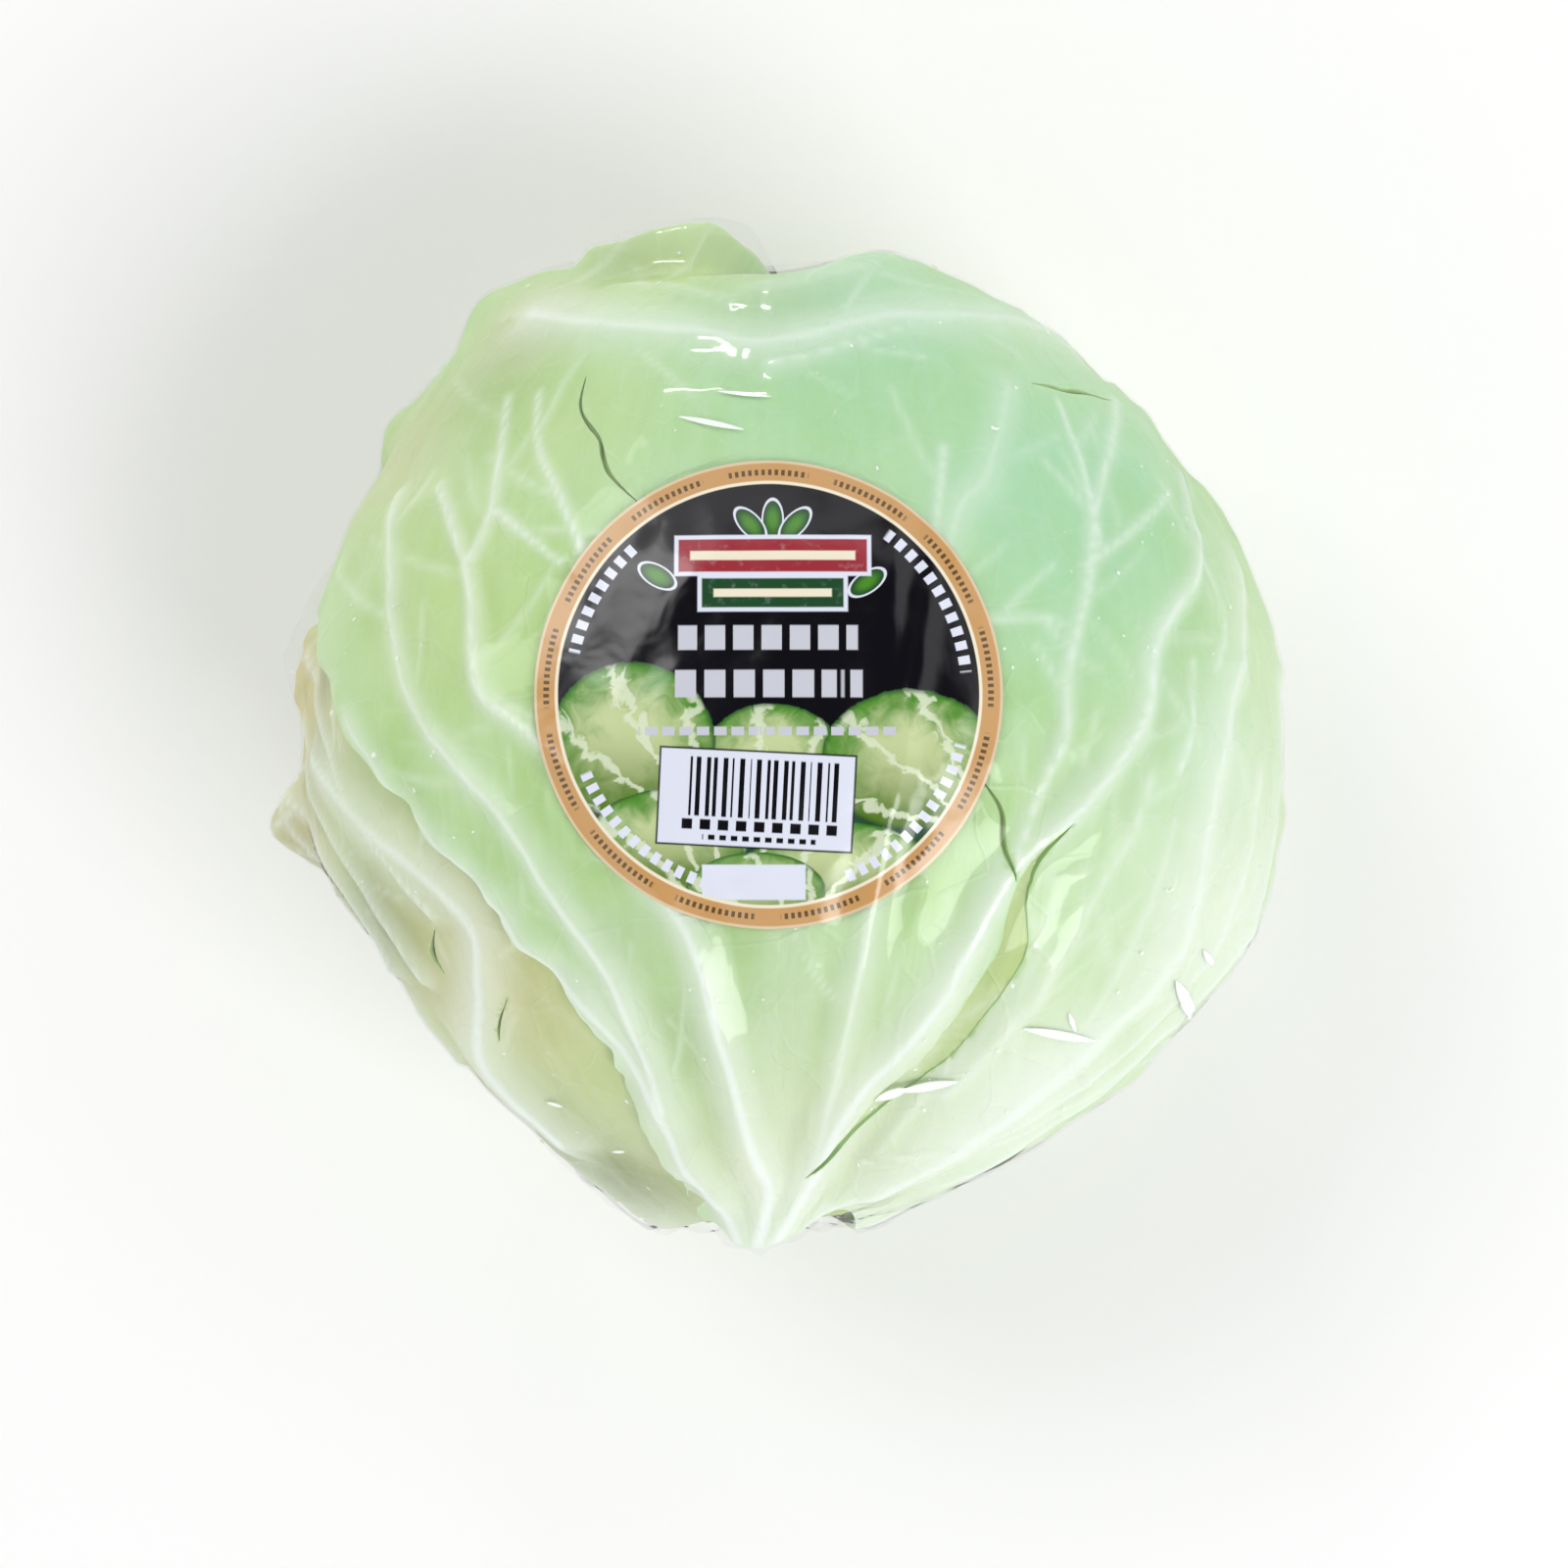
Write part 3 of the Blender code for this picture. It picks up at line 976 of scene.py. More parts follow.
    def words(self, paint: Paint, u: Wire, v: Wire, base: Wire, grain: Wire) -> Wire:
        """A plain sprig with two banners and rows of blocks, where a label has its words.

        Args:
            paint: The material.
            u: Across the label, from -1 to 1.
            v: Up the label, from -1 to 1.
            base: The colour under it.
            grain: Fine noise.

        Returns:
            The colour with them over it.
        """
        sprig = ((0.02, 0.74, 1.57), (-0.075, 0.72, 2.3), (0.115, 0.72, 0.84))
        sides = ((-0.47, 0.50, 2.6), (0.42, 0.47, 0.6))
        for x, y, turn in sprig + sides:
            leaf = self.oval(u, v, (x, y), (0.085, 0.042), turn)
            base = paint.blend(base, colour(self.white), leaf.ramp(1.10, 1.16, 1.0, 0.0))
            body = paint.blend(colour(self.leaf), colour(self.dark_green), leaf.ramp(0.2, 1.0))
            base = paint.blend(base, body, leaf.ramp(0.93, 1.0, 1.0, 0.0))
        for y, half_x, half_y, ink in (
            (0.585, 0.40, 0.070, self.red),
            (0.425, 0.30, 0.062, self.dark_green),
        ):
            edge = (half_x + 0.018, half_y + 0.018)
            base = paint.blend(base, colour(self.white), self.box(u, v, (0.02, y), edge))
            fill = paint.blend(colour(ink), colour(self.silver), grain.ramp(0.55, 0.9) * 0.3)
            base = paint.blend(base, fill, self.box(u, v, (0.02, y), (half_x, half_y)))
            inner = self.box(u, v, (0.02, y), (half_x - 0.05, half_y * 0.28))
            base = paint.blend(base, colour(self.line), inner)
        for y, half_x, half_y, step in (
            (0.235, 0.38, 0.052, 54.0),
            (0.040, 0.40, 0.058, 52.0),
            (-0.160, 0.55, 0.018, 88.0),
        ):
            beat = (u * step + 0.7).math("SINE") + (u * (step * 1.9) + y * 40.0).math("SINE") * 0.5
            blocks = beat.ramp(-0.62, -0.46)
            row = blocks * self.box(u, v, (0.0, y), (half_x, half_y))
            base = paint.blend(base, colour(self.silver), row)
        tab = self.box(u, v, (-0.06, -0.80), (0.22, 0.075))
        return paint.blend(base, colour(self.white), tab)

    def rim(self, paint: Paint, u: Wire, v: Wire, base: Wire) -> Wire:
        """The tan ring, its pale lines, and dashes round it and inside it.

        Args:
            paint: The material.
            u: Across the label, from -1 to 1.
            v: Up the label, from -1 to 1.
            base: The colour under it.

        Returns:
            The colour with the ring over it.
        """
        out = (u * u + v * v).math("SQRT")
        angle = v.math("ARCTAN2", u)
        for middle, spread, step in ((2.62, 0.30, 84.0), (0.52, 0.40, 84.0), (-2.30, 0.42, 92.0),
                                     (-0.72, 0.45, 92.0)):
            dash = (angle * step).math("SINE").ramp(-0.35, -0.1)
            stretch = (angle - middle).size().ramp(spread, spread + 0.02, 1.0, 0.0)
            band = (out - 0.845).size().ramp(0.022, 0.028, 1.0, 0.0)
            base = paint.blend(base, colour(self.white), dash * stretch * band)
        base = paint.blend(base, colour(self.line), out.ramp(0.894, 0.900))
        base = paint.blend(base, colour(self.ring), out.ramp(0.908, 0.914))
        dash = ((angle * 210.0).math("SINE").ramp(-0.3, 0.1)) * (
            (angle * 13.0).math("SINE").ramp(-0.8, -0.6)
        )
        band = (out - 0.948).size().ramp(0.010, 0.015, 1.0, 0.0)
        base = paint.blend(base, colour("3a2a1c"), dash * band * 0.85)
        return paint.blend(base, colour(self.line), out.ramp(0.985, 0.992, 0.0, 0.5))


# ---------------------------------------------------------------- leaves


@dataclass(frozen=True)
class Leaf:
    """A wrapper leaf; its outline is rows of tilt, width to the left and width to the right."""

    name: str
    heading: float
    outline: tuple
    finish: LeafFinish
    seed: int
    veins: tuple = ()
    stains_and_shade: tuple = ()
    swells: tuple = ()
    tears: tuple = ()
    generated: bool = True  # with a midrib and side ribs of the usual pattern
    twigs: float = 0.5  # how strongly thin side veins show
    ragged: float = 0.0016  # how far the margin wanders
    ruffle: float = 0.0007  # how far the margin rises and falls
    spacing: float = 0.0012
    rib_rise: float = 0.0036
    rib_spread: float = 0.012
    rounding: float = 0.75
    blade: float = 0.0009

    LAYER = 0.0020  # from one leaf to the next
    FLAT = 3.0
    FALL = 9.0

    def first(self) -> float:
        """The tilt where its stalk starts."""
        return float(np.radians(self.outline[0][0]))

    def last(self) -> float:
        """The tilt of its tip."""
        return float(np.radians(self.outline[-1][0]))

    def half_widths(self, tilt: np.ndarray) -> tuple[np.ndarray, np.ndarray]:
        """Its widths to the left and the right of the midrib, as turns in radians."""
        rows = np.radians(np.array(self.outline, float))
        at = np.clip(tilt, rows[0, 0], rows[-1, 0])
        along = (at - rows[0, 0]) / (rows[-1, 0] - rows[0, 0])
        rounding = np.sqrt(1.0 - self.rounding * along**8)
        step = np.clip(np.searchsorted(rows[:, 0], at) - 1, 0, len(rows) - 2)
        share = (at - rows[step, 0]) / (rows[step + 1, 0] - rows[step, 0])
        slopes = np.gradient(rows, axis=0)
        basis = (
            2 * share**3 - 3 * share**2 + 1,
            share**3 - 2 * share**2 + share,
            3 * share**2 - 2 * share**3,
            share**3 - share**2,
        )
        return tuple(
            rounding
            * (
                basis[0] * rows[step, side]
                + basis[1] * slopes[step, side]
                + basis[2] * rows[step + 1, side]
                + basis[3] * slopes[step + 1, side]
            )
            for side in (1, 2)
        )

    def layer(self, vectors: np.ndarray) -> np.ndarray:
        """From the leaf under it to this one's outside: less near the stem, where stalks crowd."""
        tilt = angles(vectors)[0]
        return self.LAYER * (0.5 + 0.5 * smooth((tilt - np.radians(13.0)) / np.radians(20.0)))

    def past_margin(self, vectors: np.ndarray) -> np.ndarray:
        """How far past the margin vectors are, in radians; less than 0 on the leaf."""
        tilt, turn = angles(vectors)
        aside = wrapped(turn - np.radians(self.heading))
        now, later = self.half_widths(tilt), self.half_widths(tilt + 0.02)
        past = []
        for sign, side in ((-1.0, 0), (1.0, 1)):
            slope = (later[side] - now[side]) / 0.02
            across = (sign * aside - now[side]) * np.sin(tilt)
            past.append(across / np.sqrt(1.0 + (np.sin(tilt) * slope) ** 2))
        return np.maximum.reduce([*past, tilt - self.last(), self.first() - tilt])

    def cover(self, vectors: np.ndarray) -> np.ndarray:
        """1 where it holds up what lies on it, falling to 0 past its margin."""
        past = self.past_margin(vectors)
        return 1.0 - smooth((past - np.radians(self.FLAT)) / np.radians(self.FALL))

    def usual_ribs(self, random: np.random.Generator) -> list[Vein]:
        """The midrib, and side ribs that leave it by turns to the left and the right.

        Args:
            random: Draws each side rib's length and reach, and how far on the next one starts.

        Returns:
            The ribs, the midrib first.
        """
        first, last = self.outline[0][0], self.outline[-1][0]
        ends = np.linspace(first + 2, last - 14, 7)
        midrib = tuple((tilt, self.heading) for tilt in ends)
        made = [Vein(midrib, width=0.0042, thin=0.0008, rise=0.0014, pale=0.95)]
        start, side = first + 9.0, 1.0
        while start < last - 34.0:
            span = random.uniform(34.0, 46.0)
            reach = random.uniform(42.0, 60.0)
            places = tuple(
                (
                    float(start + span * share**0.85),
                    float(self.heading + side * reach * share**1.15),
                )
                for share in (0.0, 0.22, 0.5, 0.78, 1.0)
            )
            made.append(Vein(places, width=0.0020, thin=0.0006, rise=0.0011, pale=0.85))
            start += random.uniform(7.0, 11.0)
            side = -side
        return made

    def twigs_off(self, vein: Vein, random: np.random.Generator) -> list[Vein]:
        """The thin veins that leave a rib by turns to its left and its right.

        Args:
            vein: The rib.
            random: Draws each one's slant, length and paleness, and how far on the next is.

        Returns:
            The thin veins.
        """
        twigs = []
        trail = Trail(vein.places).line
        step, sign = 4, 1.0
        while step < len(trail) - 2:
            here, onward = trail[step], trail[step + 1] - trail[step]
            onward = onward / np.linalg.norm(onward)
            aside = np.cross(here, onward) * sign
            lean = random.uniform(0.5, 1.1)
            length = random.uniform(0.10, 0.26)
            places = []
            for share in (0.0, 0.35, 0.7, 1.0):
                point = here + (onward * share + aside * lean * share**0.8) * length
                tilt, turn = angles((point / np.linalg.norm(point))[None, :])
                places.append((float(np.degrees(tilt[0])), float(np.degrees(turn[0]))))
            pale = self.twigs * random.uniform(0.5, 1.0)
            twigs.append(Vein(tuple(places), width=0.0009, thin=0.0006, rise=0.00022, pale=pale))
            step += int(random.integers(4, 8))
            sign = -sign
        return twigs

    def ribs(self) -> list[Vein]:
        """All its ribs: those given, those of the usual pattern, and thin ones off them."""
        random = np.random.default_rng(self.seed)
        made = list(self.veins)
        if self.generated:
            made += self.usual_ribs(random)
        return made + [twig for vein in made for twig in self.twigs_off(vein, random)]

    def relief(self, vectors: np.ndarray) -> tuple[np.ndarray, np.ndarray]:
        """Its ribs and swells.

        Args:
            vectors: Unit vectors.

        Returns:
            The height over a plain blade in metres, and how pale it is, from 0 to 1.
        """
        height, pale = np.zeros(len(vectors)), np.zeros(len(vectors))
        for vein in self.ribs():
            vein.add_to(vectors, height, pale)
        tilt, turn = angles(vectors)
        aside = wrapped(turn - np.radians(self.heading)) * np.sin(tilt) * MIDDLE_RADIUS
        along = np.clip((tilt - self.first()) / (self.last() - self.first()), 0.0, 1.0)
        stalk = (1.0 - along) ** 2 * np.exp(-((aside / self.rib_spread) ** 2))
        height += self.rib_rise * stalk
        pale = np.maximum(pale, 0.55 * stalk**1.5)
        height += 0.00040 * rolling(vectors, 0.030, self.seed)
        height += 0.00016 * rolling(vectors, 0.011, self.seed + 1)
        for swell in self.swells:
            height += swell.at(vectors)
        return height, pale


class Wrapping:
    """The head with its leaves, each lying on those before it."""

    CLEARANCE = 0.0004  # between the head and the first leaf
    LIP = 0.0026  # how wide a tear's lip is
    DROOP = 0.0008  # how far a margin lies lower
    MARGIN = 0.009  # how wide a margin is
    HALF_CUT = 0.0012  # half the least width of a tear, as an angle in radians

    def __init__(self, shape: HeadShape, leaves: tuple[Leaf, ...]) -> None:
        """Takes the head and the leaves from the inside out."""
        self.shape = shape
        self.leaves = leaves

    def under(self, vectors: np.ndarray, number: int) -> np.ndarray:
        """The radius that the leaf of this number lies on."""
        radius = self.shape.radius(vectors) + self.CLEARANCE
        for leaf in self.leaves[:number]:
            height = Vein.UNDER_LEAF * leaf.relief(vectors)[0]
            radius = radius + leaf.cover(vectors) * (leaf.layer(vectors) + height)
        return radius

    def outer(self, vectors: np.ndarray) -> np.ndarray:
        """The outermost leaf surface, which the film lies on."""
        radius = self.shape.radius(vectors) + self.CLEARANCE
        outermost = radius.copy()
        for leaf in self.leaves:
            height = leaf.relief(vectors)[0]
            cover = leaf.cover(vectors)
            layer = leaf.layer(vectors)
            outermost = np.maximum(outermost, radius + cover * (layer + height))
            radius = radius + cover * (layer + Vein.UNDER_LEAF * height)
        return outermost

    def inner(self, vectors: np.ndarray) -> np.ndarray:
        """The inner side of the lowest leaf, which the head stays under."""
        radius = self.shape.radius(vectors) + self.CLEARANCE
        lowest = np.full(len(vectors), np.inf)
        for leaf in self.leaves:
            height = leaf.relief(vectors)[0]
            layer = leaf.layer(vectors)
            side = radius + layer + height - leaf.blade - 0.0003
            lowest = np.where(leaf.past_margin(vectors) < 0.04, np.minimum(lowest, side), lowest)
            radius = radius + leaf.cover(vectors) * (layer + Vein.UNDER_LEAF * height)
        return lowest

    def build(self, number: int) -> bpy.types.Object:
        """Builds one leaf.

        Args:
            number: Its place in the order.

        Returns:
            The piece.
        """
        leaf = self.leaves[number]
        reach = (leaf.last() - leaf.first()) * MIDDLE_RADIUS
        widest = np.radians(max(left + right for _, left, right in leaf.outline))
        columns = int(widest * MIDDLE_RADIUS / leaf.spacing)
        piece, flat = grid(leaf.name + "_blade", columns, int(reach / leaf.spacing))
        across, along = flat[:, 0], (flat[:, 1] + 1.0) / 2.0
        tilt = leaf.first() + (leaf.last() - leaf.first()) * along
        left, right = leaf.half_widths(tilt)
        width = np.where(across < 0.0, left, right)
        turn = np.radians(leaf.heading) + across * width
        at_margin = directions(tilt, np.radians(leaf.heading) + np.sign(across) * width)
        wander = rolling(at_margin, 0.014, leaf.seed + 5) + 0.5 * rolling(
            at_margin, 0.005, leaf.seed + 6
        )
        wander = wander * leaf.ragged
        far = np.sin(tilt) * MIDDLE_RADIUS + 0.004
        turn = turn + across * np.abs(across) ** 3 * wander / far
        tip = directions(np.full(len(turn), leaf.last()), turn)
        crown = rolling(tip, 0.014, leaf.seed + 8) * leaf.ragged * 1.6
        tilt = tilt + along**8 * crown / MIDDLE_RADIUS
        vectors = directions(tilt, turn)
        height, pale = leaf.relief(vectors)
        inside = np.minimum((1.0 - np.abs(across)) * width * far, (1.0 - along) * reach)
        edge = 1.0 - smooth(inside / self.MARGIN)
        ruffled = rolling(vectors, 0.012, leaf.seed + 9)
        height = height * (1.0 - 0.5 * edge) + edge * (leaf.ruffle * ruffled - self.DROOP)
        for tear in leaf.tears:
            for lip, lift in ((tear.left, tear.lip), (tear.right, -tear.sink)):
                index, distance, share = Trail(lip).nearest(vectors, 0.008)
                open_here = np.maximum(np.sin(np.pi * share), 0.0)
                height[index] += lift * open_here * np.exp(-((distance / self.LIP) ** 2))
        radius = self.under(vectors, number) + leaf.layer(vectors) + height
        radius = self.shape.pressed(radius, vectors, 0.0005)
        move_to(piece, self.shape.placed(radius, vectors))
        write_attribute(piece, "vein", pale)
        for tint in Tint:
            total = np.zeros(len(vectors))
            for stain_and_shade in leaf.stains_and_shade:
                if stain_and_shade.tint is tint:
                    swell = Swell(stain_and_shade.tilt, stain_and_shade.turn, stain_and_shade.share, stain_and_shade.reach)
                    total = np.maximum(total, swell.at(vectors))
            write_attribute(piece, tint.value, total)
        piece.data.materials.append(leaf.finish.material())
        apply_modifier(piece, "SOLIDIFY", thickness=leaf.blade, offset=-1.0)
        for tear in leaf.tears:
            self.split(piece, tear)
        shade(piece)
        return hand_over(piece, leaf.name)

    def split(self, piece: bpy.types.Object, tear: Tear) -> None:
        """Cuts a tear through a leaf.

        Args:
            piece: The leaf.
            tear: The tear's lips.
        """
        left, right = Trail(tear.left).line, Trail(tear.right).line
        count = 24
        shares = np.linspace(0.0, 1.0, count)

        def along(line: np.ndarray) -> np.ndarray:
            """The line's points at even shares of its length."""
            at = np.linspace(0.0, 1.0, len(line))
            return np.column_stack([np.interp(shares, at, line[:, axis]) for axis in range(3)])

        left, right = along(left), along(right)
        nudge = rolling(left, 0.006, 77)[:, None] * 0.004
        aside = right - left
        aside /= np.maximum(np.linalg.norm(aside, axis=1)[:, None], 1e-9)
        left = left + aside * nudge * np.sin(np.pi * shares)[:, None]
        middle = (left + right) / 2.0
        left = middle + (left - middle) - aside * self.HALF_CUT
        right = middle + (right - middle) + aside * self.HALF_CUT
        points = []
        for scale in (0.9, 1.12):
            for line in (left, right):
                radius = self.under(line, len(self.leaves) - 1) * scale
                points.append(self.shape.placed(radius, line))
        mesh = bpy.data.meshes.new("tear")
        faces = []
        rows = [range(count * row, count * (row + 1)) for row in range(4)]
        for step in range(count - 1):
            loops = (rows[0], rows[1], rows[3], rows[2])
            for here, there in zip(loops, loops[1:] + loops[:1]):
                faces.append((here[step], here[step + 1], there[step + 1], there[step]))
        for step in (0, count - 1):
            faces.append((rows[0][step], rows[1][step], rows[3][step], rows[2][step]))
        mesh.from_pydata(np.concatenate(points).tolist(), [], faces)
        cutter = bpy.data.objects.new("tear", mesh)
        bpy.context.scene.collection.objects.link(cutter)
        work = bmesh.new()
        work.from_mesh(mesh)
        bmesh.ops.recalc_face_normals(work, faces=work.faces)
        if work.calc_volume(signed=True) < 0.0:
            bmesh.ops.reverse_faces(work, faces=work.faces)
        work.to_mesh(mesh)
        work.free()
        apply_modifier(piece, "BOOLEAN", operation="DIFFERENCE", object=cutter, solver="MANIFOLD")
        bpy.data.objects.remove(cutter, do_unlink=True)
        bpy.data.meshes.remove(mesh)


# ---------------------------------------------------------------- head, stalk, film, label


@dataclass(frozen=True)
class Head:
    """The closed leaves inside, which show through the tears and between the leaves."""

    wrapping: Wrapping
    finish: LeafFinish
    tears: tuple = ()  # the head fills these
    fill: float = 0.0036  # how far it stands out under them
    bulge: float = 0.0002  # and into them
    seam: float = 0.0009  # how far each closed leaf stands out over the next
    relief: float = 0.45  # the share of a loose leaf's ribs that a closed one has
    above_floor: float = 0.0030
    cuts: int = 76
    seed: int = 11

    def build(self) -> bpy.types.Object:
        """Builds it.

        Returns:
            The piece.
        """
        piece, vectors = ball("head_ball", self.cuts)
        pattern = Leaf("head", 25.0, ((12, 30, 30), (172, 60, 60)), self.finish, self.seed)
        height, pale = pattern.relief(vectors)
        tilt, turn = angles(vectors)
        seams = np.zeros(len(vectors))
        for number, heading in enumerate((0.3, 2.5, 4.6)):
            spiral = wrapped(turn - heading - 1.1 * (tilt - 1.6))
            crown = smooth((tilt - 1.9) / 0.6)
            seams += self.seam * crown * np.clip(spiral / (1.2 + 0.2 * number), 0.0, 1.0)
        shape = self.wrapping.shape
        radius = shape.radius(vectors) + self.relief * height + seams - self.seam
        filled, bulge = np.zeros(len(vectors)), np.zeros(len(vectors))
        for tear in self.tears:
            index, distance, _ = Trail(tear.right).nearest(vectors, 0.02)
            rise = self.fill * np.exp(-((distance / 0.007) ** 2))
            filled[index] = np.maximum(filled[index], rise)
            rise = self.bulge * np.exp(-((distance / 0.003) ** 2))
            bulge[index] = np.maximum(bulge[index], rise)
        # the leaves' inner side is the limit, save for the bulge into a tear
        radius = np.minimum(radius + filled, self.wrapping.inner(vectors) + bulge)
        stop = np.maximum(-vectors[:, 1], 1e-6)
        radius = np.minimum(radius, (shape.stump_end - 0.0012) / stop)
        radius = shape.pressed(radius, vectors, self.above_floor)
        move_to(piece, shape.placed(radius, vectors))
        write_attribute(piece, "vein", pale * 0.5)
        stains_and_shade = {Tint.YELLOW: 0.9, Tint.DEEP: 0.22}
        for tint in Tint:
            write_attribute(piece, tint.value, np.full(len(vectors), stains_and_shade.get(tint, 0.0)))
        shade(piece)
        piece.data.materials.append(self.finish.material())
        return hand_over(piece, "head")


@dataclass(frozen=True)
class Stalk:
    """The cut stump at the end of the head."""

    shape: HeadShape
    finish: StalkFinish
    segments: int = 96
    bevel: float = 0.0012
    rings: int = 10  # across its cut face

    def build(self) -> bpy.types.Object:
        """Builds it.

        Returns:
            The piece.
        """
        deselected()
        start, end = self.shape.stem_seat - 0.002, self.shape.stump_end
        bpy.ops.mesh.primitive_cylinder_add(
            vertices=self.segments,
            radius=self.shape.stem_radius,
            depth=end - start,
            rotation=(np.pi / 2.0, 0.0, 0.0),
        )
        piece = named("stump")
        bpy.ops.object.transform_apply(location=False, rotation=True, scale=False)
        bpy.ops.object.mode_set(mode="EDIT")
        bpy.ops.mesh.select_all(action="DESELECT")
        work = bmesh.from_edit_mesh(piece.data)
        work.faces.ensure_lookup_table()
        for face in work.faces:
            face.select = face.normal.y < -0.9
        bmesh.update_edit_mesh(piece.data)
        bpy.ops.mesh.bevel(offset=self.bevel, segments=4, profile=0.6, affect="EDGES")
        bpy.ops.mesh.select_all(action="DESELECT")
        work = bmesh.from_edit_mesh(piece.data)
        for face in work.faces:
            face.select = face.normal.y < -0.99
        bmesh.update_edit_mesh(piece.data)
        for ring in range(self.rings, 0, -1):
            bpy.ops.mesh.extrude_region_move()
            shrink = ring / (ring + 1.0)
            bpy.ops.transform.resize(
                value=(shrink, 1.0, shrink), center_override=(0.0, 0.0, 0.0)
            )
        bpy.ops.object.mode_set(mode="OBJECT")
        points = coordinates(piece)
        points[:, 1] -= (start + end) / 2.0
        across = np.hypot(points[:, 0], points[:, 2])
        round_way = np.arctan2(points[:, 0], points[:, 2])
        near_rim = np.clip(across / self.shape.stem_radius, 0.0, 1.0)
        wobble = 1.0 + 0.02 * near_rim * np.sin(5 * round_way + 0.6) + 0.012 * np.sin(
            11 * round_way
        )
        cut = points[:, 1] < -(end - self.bevel)
        slope = 0.0005 * np.sin(2.2 * points[:, 0] / self.shape.stem_radius + 0.7)
        marks = 0.00012 * np.sin(points[:, 2] * 5200.0 + 2.0 * np.sin(points[:, 0] * 500.0))
        points[:, 1] += np.where(cut, slope + marks + 0.0004 * (1 - near_rim**2), 0.0)
        points[:, 0] *= wobble
        points[:, 2] *= wobble
        points[:, 0] -= self.shape.stem_lean * (points[:, 1] / self.shape.stem_end) ** 2
        move_to(piece, points + self.shape.middle())
        write_attribute(piece, "rim", near_rim)
        shade(piece, 40.0)
        piece.data.materials.append(self.finish.material())
        return hand_over(piece, "cut_stem")


@dataclass(frozen=True)
class Film:
    """The clear film, stretched over the leaves and gathered round the stump."""

    wrapping: Wrapping
    finish: FilmFinish
    cuts: int = 84
    gap: float = 0.0004
    thickness: float = 0.00008
    opening: float = 7.5  # degrees
    over_stump: float = 11.5  # nearer the stem than this many degrees it lies on the stump
    pleats: int = 17
    pleat_rise: float = 0.0011
    gathered_within: float = 36.0  # degrees from the stem
    passes: int = 2  # of smoothing
    creases: tuple = ()

    def build(self) -> bpy.types.Object:
        """Builds it.

        Returns:
            The piece.
        """
        piece, vectors = ball("film_sheet", self.cuts)
        shape = self.wrapping.shape
        tilt, turn = angles(vectors)
        under = self.wrapping.outer(vectors)
        stop = np.maximum(-vectors[:, 1], 1e-6)
        over_stem = (shape.stump_end + 0.0004) / stop
        under = np.where(tilt < np.radians(self.over_stump), over_stem, under)
        under = under + self.gap
        edges = np.empty(len(piece.data.edges) * 2, dtype=int)
        piece.data.edges.foreach_get("vertices", edges)
        first, second = edges.reshape(-1, 2).T
        count = np.bincount(first, minlength=len(under)) + np.bincount(
            second, minlength=len(under)
        )
        radius = under.copy()
        for _ in range(self.passes):
            total = np.bincount(first, radius[second], len(under))
            total += np.bincount(second, radius[first], len(under))
            radius = np.maximum(under, total / count)
        pleat = np.sin(self.pleats * turn + 1.3 * np.sin(3 * turn) + 4.0 * tilt)
        gathered = smooth((np.radians(self.gathered_within) - tilt) / np.radians(24.0))
        radius = radius + gathered * self.pleat_rise * (0.5 + 0.5 * pleat) ** 2
        raised, marks = np.zeros(len(vectors)), np.zeros(len(vectors))
        # each crease raises the film and writes a painted highlight along it
        for crease in self.creases:
            crease.add_to(vectors, raised, marks)
        radius = shape.pressed(radius + raised, vectors, 0.0)
        move_to(piece, shape.placed(radius, vectors))
        # painted highlight along the crests of the gathered pleats
        marks = np.maximum(marks, gathered * 0.10 * (0.5 + 0.5 * pleat) ** 6)
        write_attribute(piece, "crease", marks)
        choose(piece)
        bpy.ops.object.mode_set(mode="EDIT")
        bpy.ops.mesh.select_all(action="DESELECT")
        work = bmesh.from_edit_mesh(piece.data)
        work.verts.ensure_lookup_table()
        bpy.context.tool_settings.mesh_select_mode = (True, False, False)
        limit = np.radians(self.opening) * (1.0 + 0.10 * np.sin(5 * turn) + 0.08 * pleat)
        for vert, inside in zip(work.verts, tilt < limit):
            vert.select = bool(inside)
        work.select_flush_mode()
        bmesh.update_edit_mesh(piece.data)
        bpy.ops.mesh.delete(type="VERT")
        bpy.ops.object.mode_set(mode="OBJECT")
        piece.data.materials.append(self.finish.material())
        piece.data.materials.append(self.finish.inner())
        wall = {"thickness": self.thickness, "offset": -1.0, "material_offset": 1}
        apply_modifier(piece, "SOLIDIFY", **wall)
        shade(piece, 80.0)
        hand_over(piece, "cling_film")
        return piece


